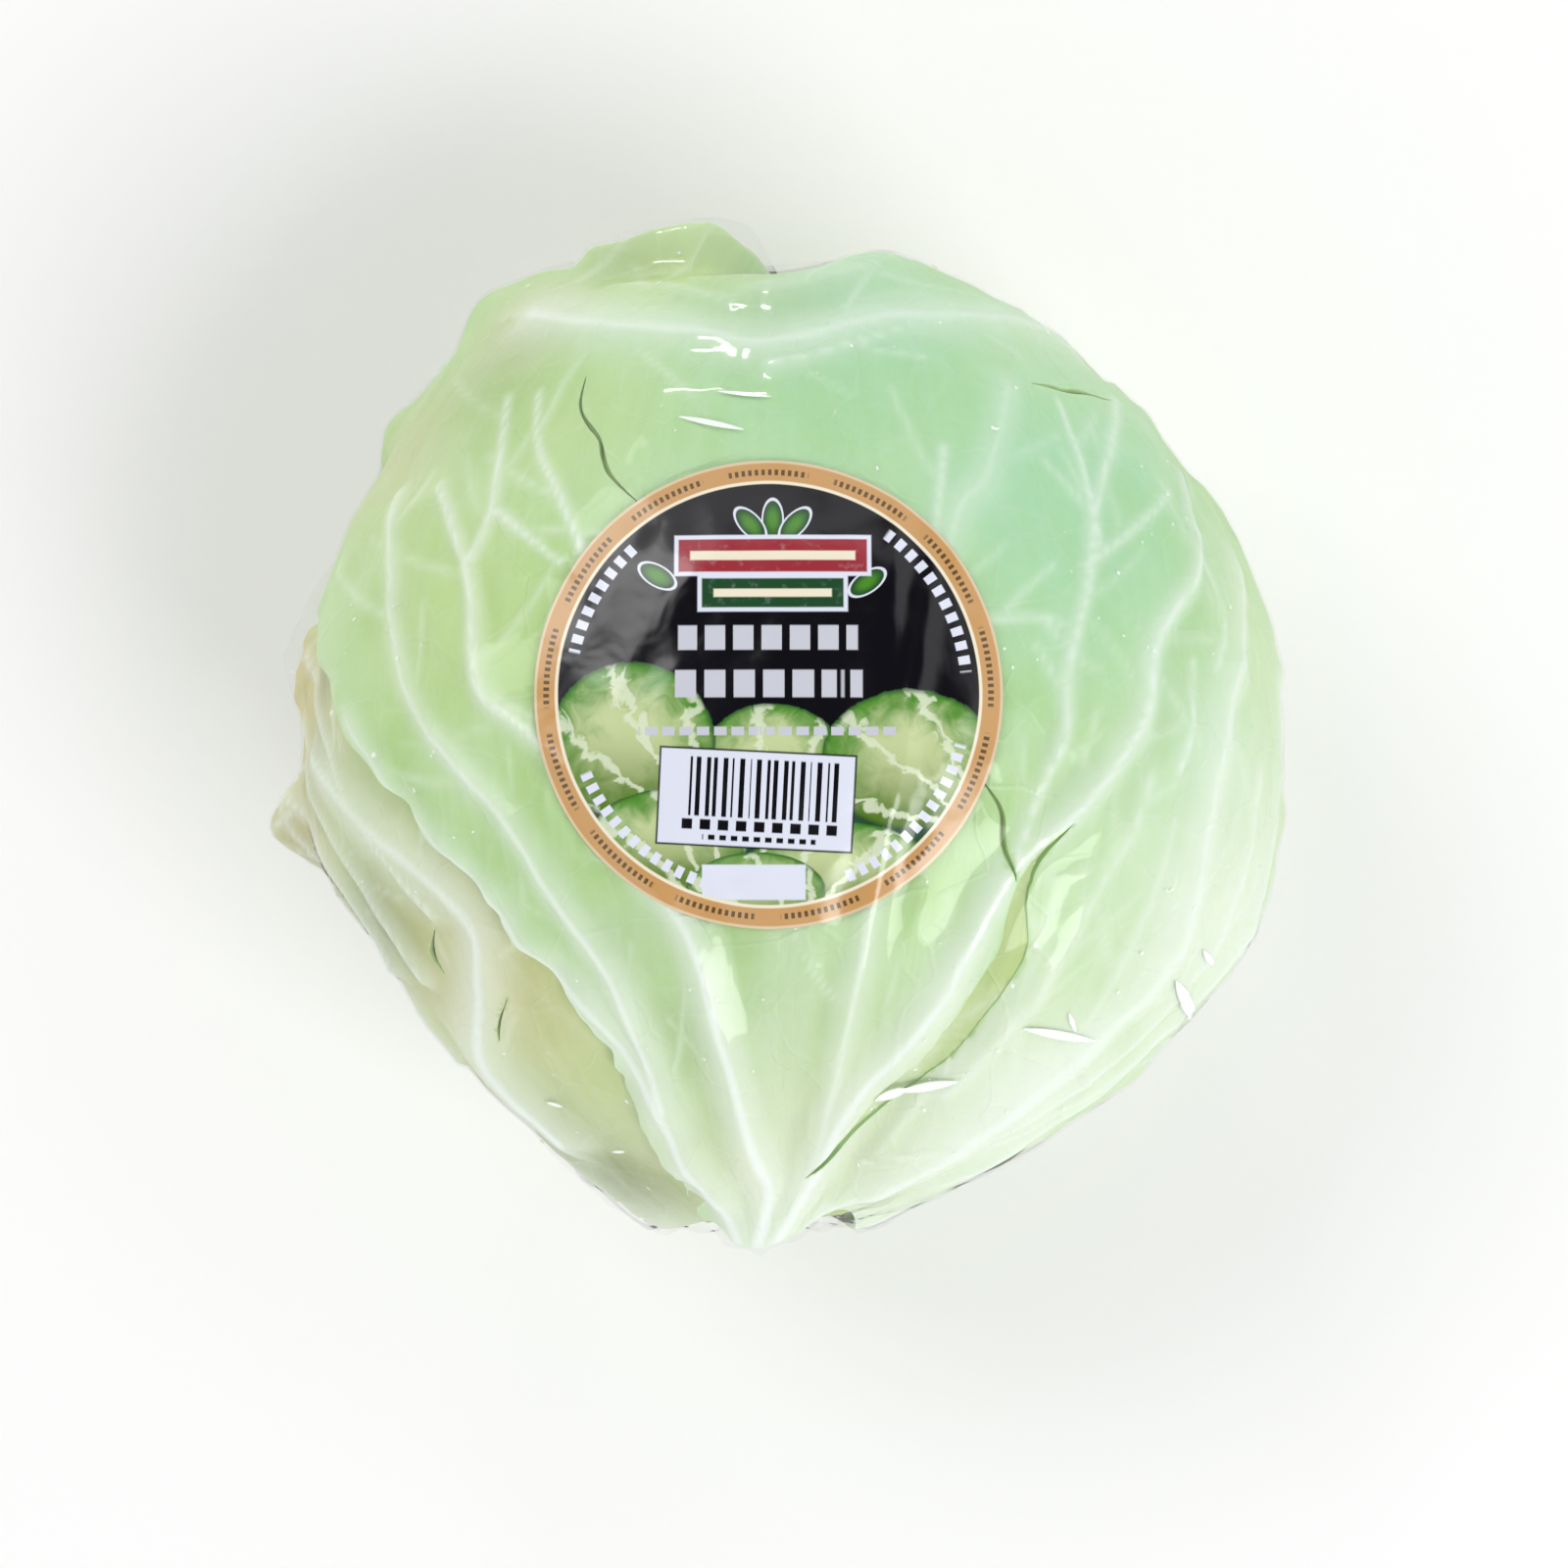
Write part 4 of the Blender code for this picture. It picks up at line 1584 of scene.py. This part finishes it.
@dataclass(frozen=True)
class Label:
    """The round label stuck on the film."""

    shape: HeadShape
    finish: LabelFinish
    radius: float = 0.035
    x: float = -0.0035
    y: float = 0.0035
    thickness: float = 0.00012
    lift: float = 0.00015
    wrinkle: float = 0.00042
    drop_from: float = 0.3  # the height that its places are dropped on the film from
    cells: int = 72

    def build(self, film: bpy.types.Object) -> bpy.types.Object:
        """Builds it.

        Args:
            film: The film that it is stuck on.

        Returns:
            The piece.
        """
        piece, square = grid("round_label", self.cells, self.cells)
        disc = square * np.sqrt(1.0 - square[:, ::-1] ** 2 / 2.0)
        middle = self.shape.middle()
        deselected()
        tree = BVHTree.FromObject(film, bpy.context.evaluated_depsgraph_get())
        points = np.zeros((len(disc), 3))
        points[:, :2] = disc * self.radius + (middle[0] + self.x, middle[1] + self.y)
        down = Vector((0.0, 0.0, -1.0))
        for row in points:
            hit = tree.ray_cast(Vector((row[0], row[1], self.drop_from)), down)[0]
            row[2] = hit.z
        fold = np.exp(-(((disc[:, 0] - 0.52 - 0.04 * disc[:, 1]) / 0.035) ** 2))
        fold *= smooth((disc[:, 1] + 0.15) / 0.5)
        second = np.exp(-(((disc[:, 1] - 0.30 * disc[:, 0] - 0.62) / 0.03) ** 2))
        second *= smooth((disc[:, 0] + 0.1) / 0.3) * 0.4
        points[:, 2] += self.lift + self.thickness + self.wrinkle * fold + 0.0003 * second
        move_to(piece, points)
        apply_modifier(piece, "SOLIDIFY", thickness=self.thickness, offset=-1.0)
        layer = piece.data.uv_layers.get("print") or piece.data.uv_layers.new(name="print")
        places = coordinates(piece)[:, :2] - (middle[0] + self.x, middle[1] + self.y)
        places = 0.5 + 0.5 * places / self.radius
        corners = np.empty(len(piece.data.loops), dtype=int)
        piece.data.loops.foreach_get("vertex_index", corners)
        layer.data.foreach_set("uv", places[corners].astype(np.float32).ravel())
        shade(piece, 60.0)
        piece.data.materials.append(self.finish.material())
        return hand_over(piece, "label")


# ---------------------------------------------------------------- the studio


@dataclass(frozen=True)
class Lamp:
    """An area lamp that looks at a point of the head."""

    name: str
    place: tuple
    size: tuple
    power: float
    aim: tuple = (0.0, 0.0, 0.06)

    def add(self) -> None:
        """Puts the lamp in the scene."""
        data = bpy.data.lights.new(self.name, "AREA")
        data.shape = "RECTANGLE"
        data.size, data.size_y = self.size
        data.energy = self.power
        lamp = bpy.data.objects.new(self.name, data)
        lamp.location = self.place
        heading = Vector(self.aim) - Vector(self.place)
        lamp.rotation_euler = heading.to_track_quat("-Z", "Y").to_euler()
        bpy.context.scene.collection.objects.link(lamp)


class Sky:
    """Even light from all round, with none from straight above."""

    def __init__(self, world: bpy.types.World) -> None:
        """Takes the world to light."""
        self.tree = world.node_tree

    def strength(self, level: float) -> Wire:
        """The light's strength by its height.

        Args:
            level: The strength near the horizon.

        Returns:
            The strength.
        """
        place = self.tree.nodes.new("ShaderNodeTexCoord")
        split = self.tree.nodes.new("ShaderNodeSeparateXYZ")
        self.tree.links.new(place.outputs["Generated"], split.inputs[0])
        return Wire(self.tree, split.outputs[2]).ramp(0.72, 0.90, level, 0.06 * level)


@dataclass(frozen=True)
class Studio:
    """A pale floor, soft light and a camera that looks straight down."""

    camera_height: float = 0.515  # above the head's middle
    camera_shift: float = -0.0086
    lens: float = 70.36
    world: float = 0.93
    lamps: tuple = (
        Lamp("key", (1.15, -1.00, 1.70), (1.00, 1.00), 20.0),
        Lamp("fill", (-1.15, 0.95, 1.70), (1.00, 1.00), 10.0),
        Lamp("glint_top", (-0.22, 1.10, 0.36), (0.20, 0.05), 1.2),
    )

    def build(self, shape: HeadShape) -> None:
        """Adds the floor, the lights and the camera."""
        deselected()
        bpy.ops.mesh.primitive_plane_add(size=8.0)
        floor = named("floor")
        paint = Paint("pale_floor")
        paint.set(Base_Color=(0.95, 0.95, 0.95, 1.0), Roughness=0.7, Specular_IOR_Level=0.2)
        floor.data.materials.append(paint.material)
        world = bpy.data.worlds.new("soft_light")
        world.use_nodes = True
        background = world.node_tree.nodes["Background"]
        background.inputs["Color"].default_value = (1.0, 1.0, 1.0, 1.0)
        light = Sky(world).strength(self.world)
        world.node_tree.links.new(light.socket, background.inputs["Strength"])
        scene = bpy.context.scene
        scene.world = world
        scene.view_settings.view_transform = "Standard"
        for lamp in self.lamps:
            lamp.add()
        data = bpy.data.cameras.new("camera")
        data.lens = self.lens
        data.sensor_width = 36.0
        data.clip_start, data.clip_end = 0.01, 10.0
        camera = bpy.data.objects.new("camera", data)
        camera.location = (0.0, self.camera_shift, shape.middle()[2] + self.camera_height)
        scene.collection.objects.link(camera)
        scene.camera = camera


# ---------------------------------------------------------------- this head


UNDER_LEAF = Leaf(
    name="under_leaf",
    heading=180.0,
    outline=((11, 44, 44), (22, 46, 46), (34, 54, 54), (60, 76, 76), (90, 88, 88), (120, 88, 88),
             (148, 70, 70)),
    finish=LeafFinish("under_leaf_skin", green="a5c877", light="bcd89c"),
    seed=21,
    spacing=0.0015,
    stains_and_shade=(StainAndShade(Tint.YELLOW, 120, 150, 30, 0.6), StainAndShade(Tint.DEEP, 60, -150, 22, 0.3)),
)

LOWER_LEFT_LEAF = Leaf(
    name="lower_left_leaf",
    heading=-122.0,
    outline=((11, 40, 44), (22, 34, 46), (34, 29, 48), (60, 28, 58), (90, 26, 54), (118, 22, 42),
             (138, 12, 22)),
    finish=LeafFinish("lower_left_skin", green="a0b069", light="b8c48a"),
    seed=31,
    ruffle=0.0011,
    stains_and_shade=(
        StainAndShade(Tint.DEEP, 50, -84, 16, 0.55),
        StainAndShade(Tint.TAN, 78, -92, 20, 0.6),
        StainAndShade(Tint.DEEP, 26, -70, 12, 0.5),
        StainAndShade(Tint.YELLOW, 100, -110, 24, 0.5),
    ),
)

RIGHT_LEAF = Leaf(
    name="right_leaf",
    heading=104.0,
    outline=((11, 76, 42), (22, 66, 34), (34, 57, 33), (60, 58, 40), (90, 58, 40), (115, 48, 36),
             (137, 26, 20)),
    finish=LeafFinish("right_leaf_skin", green="c2dba6", light="d8e8c6"),
    seed=41,
    stains_and_shade=(StainAndShade(Tint.PALE, 80, 90, 40, 0.6), StainAndShade(Tint.YELLOW, 40, 60, 20, 0.4)),
)

LEFT_LEAF = Leaf(
    name="left_leaf",
    heading=-70.0,
    outline=((11, 44, 56), (20, 34, 56), (32, 28, 54), (50, 32, 54), (70, 30, 44), (90, 27, 28),
             (110, 14, 10)),
    finish=LeafFinish("left_leaf_skin", green="b2c684", light="c6d4a4", tan="c9c084", deep="7c8642"),
    seed=51,
    spacing=0.0010,
    ragged=0.0010,
    ruffle=0.0009,
    generated=False,
    twigs=0.6,
    veins=(
        Vein(
            ((31, -55), (38, -56), (46, -57), (55, -50), (63, -47), (68, -50), (74, -57),
             (80, -65), (86, -76)),
            width=0.0040, thin=0.0026, rise=0.0024, pale=1.0, one_sided=0.4,
        ),
        Vein(((22, -78), (38, -86), (56, -88), (72, -96)), width=0.0026, thin=0.0012, rise=0.0012),
        Vein(((60, -66), (70, -72), (78, -82), (84, -92)), width=0.0020, thin=0.0014, rise=0.0016),
        Vein(((46, -66), (58, -74), (68, -84), (76, -96)), width=0.0018, thin=0.0012, rise=0.0015),
        Vein(((58, -60), (68, -64), (78, -73), (90, -84)), width=0.0016, thin=0.0011, rise=0.0014),
        Vein(((64, -76), (71, -82), (76, -90)), width=0.0012, thin=0.0009, rise=0.0013, pale=0.7),
        Vein(((56, -78), (64, -86), (70, -95)), width=0.0012, thin=0.0009, rise=0.0012, pale=0.6),
        Vein(((50, -78), (58, -88), (63, -98)), width=0.0012, thin=0.0009, rise=0.0011, pale=0.5),
        Vein(((66, -54), (76, -61), (88, -72), (98, -84)), width=0.0014, thin=0.0011, rise=0.0012),
        Vein(((20, -62), (30, -70), (42, -76), (54, -82)), width=0.0024, thin=0.0012, rise=0.0014),
    ),
    swells=(
        Swell(98, -91, 0.0036, 6),
        Swell(87, -93, -0.0056, 4.5),
        Swell(79, -92, 0.0070, 5.0),
        Swell(69, -94, -0.0020, 5),
        Swell(58, -90, -0.0022, 7),
    ),
    tears=(
        Tear(left=((64, -55.2), (61, -56.6), (58, -56.4)),
             right=((64, -55.2), (61, -56.0), (58, -56.4)), lip=0.0003),
        Tear(left=((54, -45.8), (51, -49.4), (48, -51.7)),
             right=((54, -45.8), (51, -48.8), (48, -51.7)), lip=0.0003),
    ),
    stains_and_shade=(
        StainAndShade(Tint.TAN, 92, -84, 14, 1.0),
        StainAndShade(Tint.TAN, 76, -86, 13, 0.9),
        StainAndShade(Tint.TAN, 58, -50, 16, 0.7),
        # painted shadow: a thin dark line on the lobe, under the front leaf's curled margin
        StainAndShade(Tint.DEEP, 96, -74, 5, 0.6),
        StainAndShade(Tint.DEEP, 86, -76, 6, 0.5),
        StainAndShade(Tint.DEEP, 68, -88, 9, 0.7),
        StainAndShade(Tint.DEEP, 60, -92, 9, 0.75),
        StainAndShade(Tint.YELLOW, 44, -50, 14, 0.5),
        StainAndShade(Tint.DEEP, 30, -68, 11, 0.85),
        StainAndShade(Tint.DEEP, 21, -52, 9, 0.9),
        StainAndShade(Tint.DEEP, 65, -66, 8, 0.65),
        StainAndShade(Tint.DEEP, 80, -80, 6, 0.35),
    ),
)

FRONT_LEAF = Leaf(
    name="front_leaf",
    heading=0.0,
    outline=(
        (11, 36, 50), (22, 26, 62), (34, 27, 84), (52, 32, 102), (70, 46, 108), (90, 66, 110),
        (108, 84, 110),
        (128, 100, 102), (148, 100, 92), (162, 84, 74), (173, 72, 54),
    ),
    finish=LeafFinish("front_leaf_skin", green="a9d081", light="bbdba4", mint="a3d8ae", tan="c4bf88"),
    seed=61,
    rounding=0.35,
    rib_rise=0.0012,
    spacing=0.00112,
    ragged=0.0009,
    generated=False,
    twigs=0.42,
    veins=(
        Vein(((13, -10), (25, -18), (38, -22), (51, -29), (58, -36), (65, -41), (73, -48),
              (79, -55), (85, -60), (90, -63)), width=0.0042, thin=0.0016, rise=0.0020, pale=1.0),
        Vein(((38, -21), (47, -23), (57, -26), (67, -32), (77, -38), (84, -45), (92, -52),
              (102, -58), (108, -59), (118, -66)), width=0.0026, thin=0.0012, rise=0.0013,
             pale=0.9),
        Vein(((13, 0), (24, 1), (36, -5), (50, -10), (62, -14), (72, -21), (81, -27), (89, -36),
              (93, -41), (99, -43), (110, -48), (119, -56)), width=0.0038, thin=0.0008,
             rise=0.0018, pale=1.0),
        Vein(((110, -47), (116, -45), (124, -48), (132, -52)), width=0.0010, rise=0.0004),
        Vein(((116, -44), (113, -38), (110, -33)), width=0.0010, rise=0.0004),
        Vein(((112, -30), (120, -36), (126, -42), (133, -46)), width=0.0010, rise=0.0004),
        Vein(((13, 5), (20, 10), (37, 11), (50, 11), (63, 12), (80, 14), (96, 17), (112, 20),
              (126, 24)), width=0.0034, thin=0.0008, rise=0.0014, pale=0.75),
        Vein(((14, 9), (22, 12), (36, 14), (45, 20), (53, 25), (60, 27), (70, 31), (78, 38),
              (85, 44), (91, 48), (100, 51), (108, 60), (114, 64), (121, 69)), width=0.0040,
             thin=0.0009, rise=0.0021, pale=1.0),
        Vein(((71, 31), (80, 34), (88, 37), (97, 38), (107, 42), (119, 48), (132, 65)),
             width=0.0013, thin=0.0008, rise=0.0007, pale=0.75),
        Vein(((112, 45), (118, 46), (124, 47), (132, 49)), width=0.0010, rise=0.0005, pale=0.7),
        Vein(((103, 26), (103, 30), (103, 34), (102, 38)), width=0.0008, rise=0.0003, pale=0.6),
        Vein(((109, 42), (113, 50), (118, 61)), width=0.0009, rise=0.0004, pale=0.6),
        Vein(((96, 61), (102, 64), (109, 63)), width=0.0009, rise=0.0004, pale=0.6),
        Vein(((14, 24), (20, 33), (30, 41), (42, 48), (53, 56), (61, 61), (69, 60), (77, 60),
              (88, 62), (98, 67), (108, 76)), width=0.0040, thin=0.0022, rise=0.0016, pale=0.85,
             one_sided=0.5),
        Vein(((40, 33), (52, 39), (59, 41), (69, 44), (76, 47), (83, 49)), width=0.0016,
             thin=0.0010, rise=0.0008, pale=0.6),
        Vein(((20, 28), (31, 46), (44, 60), (57, 69), (71, 72), (84, 72)), width=0.0022,
             thin=0.0012, rise=0.0009, pale=0.7),
        Vein(((22, 38), (34, 56), (46, 70), (58, 80), (70, 88)), width=0.0018, thin=0.0010,
             rise=0.0008, pale=0.6),
        Vein(((34, 38), (44, 46), (54, 51), (66, 53), (78, 54)), width=0.0014, thin=0.0010,
             rise=0.0006, pale=0.5),
        Vein(((30, 26), (40, 30), (50, 36), (60, 38), (70, 38)), width=0.0012, thin=0.0008,
             rise=0.0005, pale=0.45),
        Vein(((112, 22), (118, 25), (122, 30), (134, 39)), width=0.0026, thin=0.0020,
             rise=0.0006, pale=0.5),
        Vein(((84, 54), (90, 56), (97, 57)), width=0.0008, rise=0.0004, pale=0.7),
        Vein(((24, 54), (38, 66), (54, 76), (72, 82), (92, 86), (112, 92)), width=0.0030,
             thin=0.0016, rise=0.0013, pale=0.7),
        Vein(((144, -62), (144, -48), (144, -36), (144, -18), (143, -8), (144, 7), (147, 24),
              (146, 46), (144, 60), (142, 76)), width=0.0036, thin=0.0030, rise=0.0013, pale=0.75,
             one_sided=0.6),
        Vein(((139, -4), (141, 7), (143, 16), (145, 26)), width=0.0018, rise=0.0008, pale=0.6),
        Vein(((152, -6), (154, 6), (157, 20), (160, 36)), width=0.0040, thin=0.0030, rise=0.0018,
             pale=0.3),
        Vein(((150, -14), (153, -30), (154, -44), (154, -56)), width=0.0016, thin=0.0012,
             rise=0.0010, pale=0.35),
        Vein(((171, -34), (168, -46), (163, -60), (157, -72)), width=0.0046, thin=0.0034,
             rise=0.0100, pale=0.25),
    ),
    swells=(
        Swell(166, 24, 0.0026, 9),
        Swell(10, -8, 0.0028, 6),
        Swell(171, 4, -0.0046, 6),
        Swell(126, -90, 0.0028, 4),
        Swell(144, -90, 0.0030, 4),
        Swell(114, -90, -0.0015, 4),
        Swell(158, 90, -0.0020, 6),
    ),
    tears=(
        Tear(
            left=((77, 38), (72, 34), (66, 32), (60, 32.5), (52, 29.5), (45, 26), (39, 20),
                  (32, 15), (26, 10)),
            right=((77, 38), (72, 35.4), (66, 35), (60, 36.6), (52, 35), (45, 32), (38, 25),
                   (32, 18), (26, 10)),
            sink=0.0008,
        ),
        Tear(
            left=((82, 26), (78, 28.5), (73, 29.5), (69, 32)),
            right=((82, 26), (78, 29.2), (73, 30.2), (69, 32)),
            lip=0.0003,
        ),
        Tear(
            left=((136, -38), (131, -36.6), (127, -31.4), (122, -28), (118, -22)),
            right=((136, -38), (131, -36.0), (127, -30.8), (122, -27.4), (118, -22)),
            lip=0.0003,
        ),
        Tear(
            left=((135, 45), (134, 53), (132, 64)),
            right=((135, 45), (133.3, 53), (132, 64)),
            lip=0.0005,
        ),
    ),
    stains_and_shade=(
        StainAndShade(Tint.MINT, 118, 42, 26, 0.9),
        StainAndShade(Tint.MINT, 146, 10, 26, 0.85),
        StainAndShade(Tint.MINT, 128, -20, 16, 0.4),
        StainAndShade(Tint.MINT, 92, 60, 22, 0.45),
        StainAndShade(Tint.YELLOW, 104, -48, 20, 0.55),
        StainAndShade(Tint.YELLOW, 160, -44, 13, 0.8),
        StainAndShade(Tint.YELLOW, 128, -36, 14, 0.5),
        StainAndShade(Tint.YELLOW, 34, 36, 18, 0.55),
        StainAndShade(Tint.YELLOW, 96, 76, 14, 0.4),
        StainAndShade(Tint.TAN, 124, -74, 13, 0.55),
        StainAndShade(Tint.TAN, 144, -66, 10, 0.5),
        StainAndShade(Tint.TAN, 30, -2, 14, 0.35),
        StainAndShade(Tint.PALE, 66, 72, 26, 1.0),
        StainAndShade(Tint.PALE, 40, 48, 22, 1.0),
        StainAndShade(Tint.PALE, 52, -28, 14, 0.35),
        StainAndShade(Tint.DEEP, 158, -60, 5, 0.35),
        StainAndShade(Tint.DEEP, 136, -58, 9, 0.45),
        StainAndShade(Tint.DEEP, 149, -4, 10, 0.3),
        StainAndShade(Tint.DEEP, 49, -17, 8, 0.35),
        StainAndShade(Tint.MINT, 158, -48, 11, 0.7),
        StainAndShade(Tint.DEEP, 50, 2, 12, 0.3),
        StainAndShade(Tint.DEEP, 60, -20, 10, 0.18),
    ),
)

# Painted highlight streaks along folds of the film: start and end as x and y in metres, and half
# width
FILM_FOLD_HIGHLIGHTS = (
    PaintedFoldHighlight((0.0141, -0.0572), (0.0190, -0.0556), 0.00085),
    PaintedFoldHighlight((0.0178, -0.0560), (0.0266, -0.0546), 0.00080),
    PaintedFoldHighlight((0.0370, -0.0463), (0.0485, -0.0487), 0.00080),
    PaintedFoldHighlight((0.0622, -0.0400), (0.0675, -0.0476), 0.00120),
    PaintedFoldHighlight((0.0668, -0.0352), (0.0690, -0.0378), 0.00060),
    PaintedFoldHighlight((0.0440, -0.0440), (0.0452, -0.0470), 0.00045),
    PaintedFoldHighlight((-0.0375, -0.0590), (-0.0350, -0.0596), 0.00035),
    PaintedFoldHighlight((-0.0272, -0.0668), (-0.0250, -0.0664), 0.00030),
    PaintedFoldHighlight((-0.0158, 0.0470), (-0.0062, 0.0448), 0.00050),
    PaintedFoldHighlight((-0.0100, 0.0510), (-0.0020, 0.0500), 0.00035),
)

# Ridges in the film; each one's paleness is a painted highlight along it.
FILM_CREASES = (
    Vein(((28, 24), (31, 32), (34, 40)), width=0.0006, thin=0.0005, rise=0.0003, pale=0.6),
    Vein(((48, 50), (46, 56), (44, 62)), width=0.0006, thin=0.0005, rise=0.0003, pale=0.6),
)


def main() -> None:
    """Builds the head, its leaves, the film, the label and the studio, in that order."""
    logging.basicConfig(level=logging.INFO, format="%(name)s: %(message)s")
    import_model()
    shape = HeadShape()
    leaves = (UNDER_LEAF, LOWER_LEFT_LEAF, RIGHT_LEAF, LEFT_LEAF, FRONT_LEAF)
    wrapping = Wrapping(shape, leaves)
    skin = LeafFinish("head_skin", green="bcd884", light="d3e5ac")
    Head(wrapping, skin, tears=FRONT_LEAF.tears).build()
    Stalk(shape, StalkFinish()).build()
    for number in range(len(leaves)):
        wrapping.build(number)
    film = Film(wrapping, FilmFinish(folds=FILM_FOLD_HIGHLIGHTS), creases=FILM_CREASES).build()
    Label(shape, LabelFinish()).build(film)
    Studio().build(shape)
    bpy.context.view_layer.update()


if __name__ == "__main__":
    main()
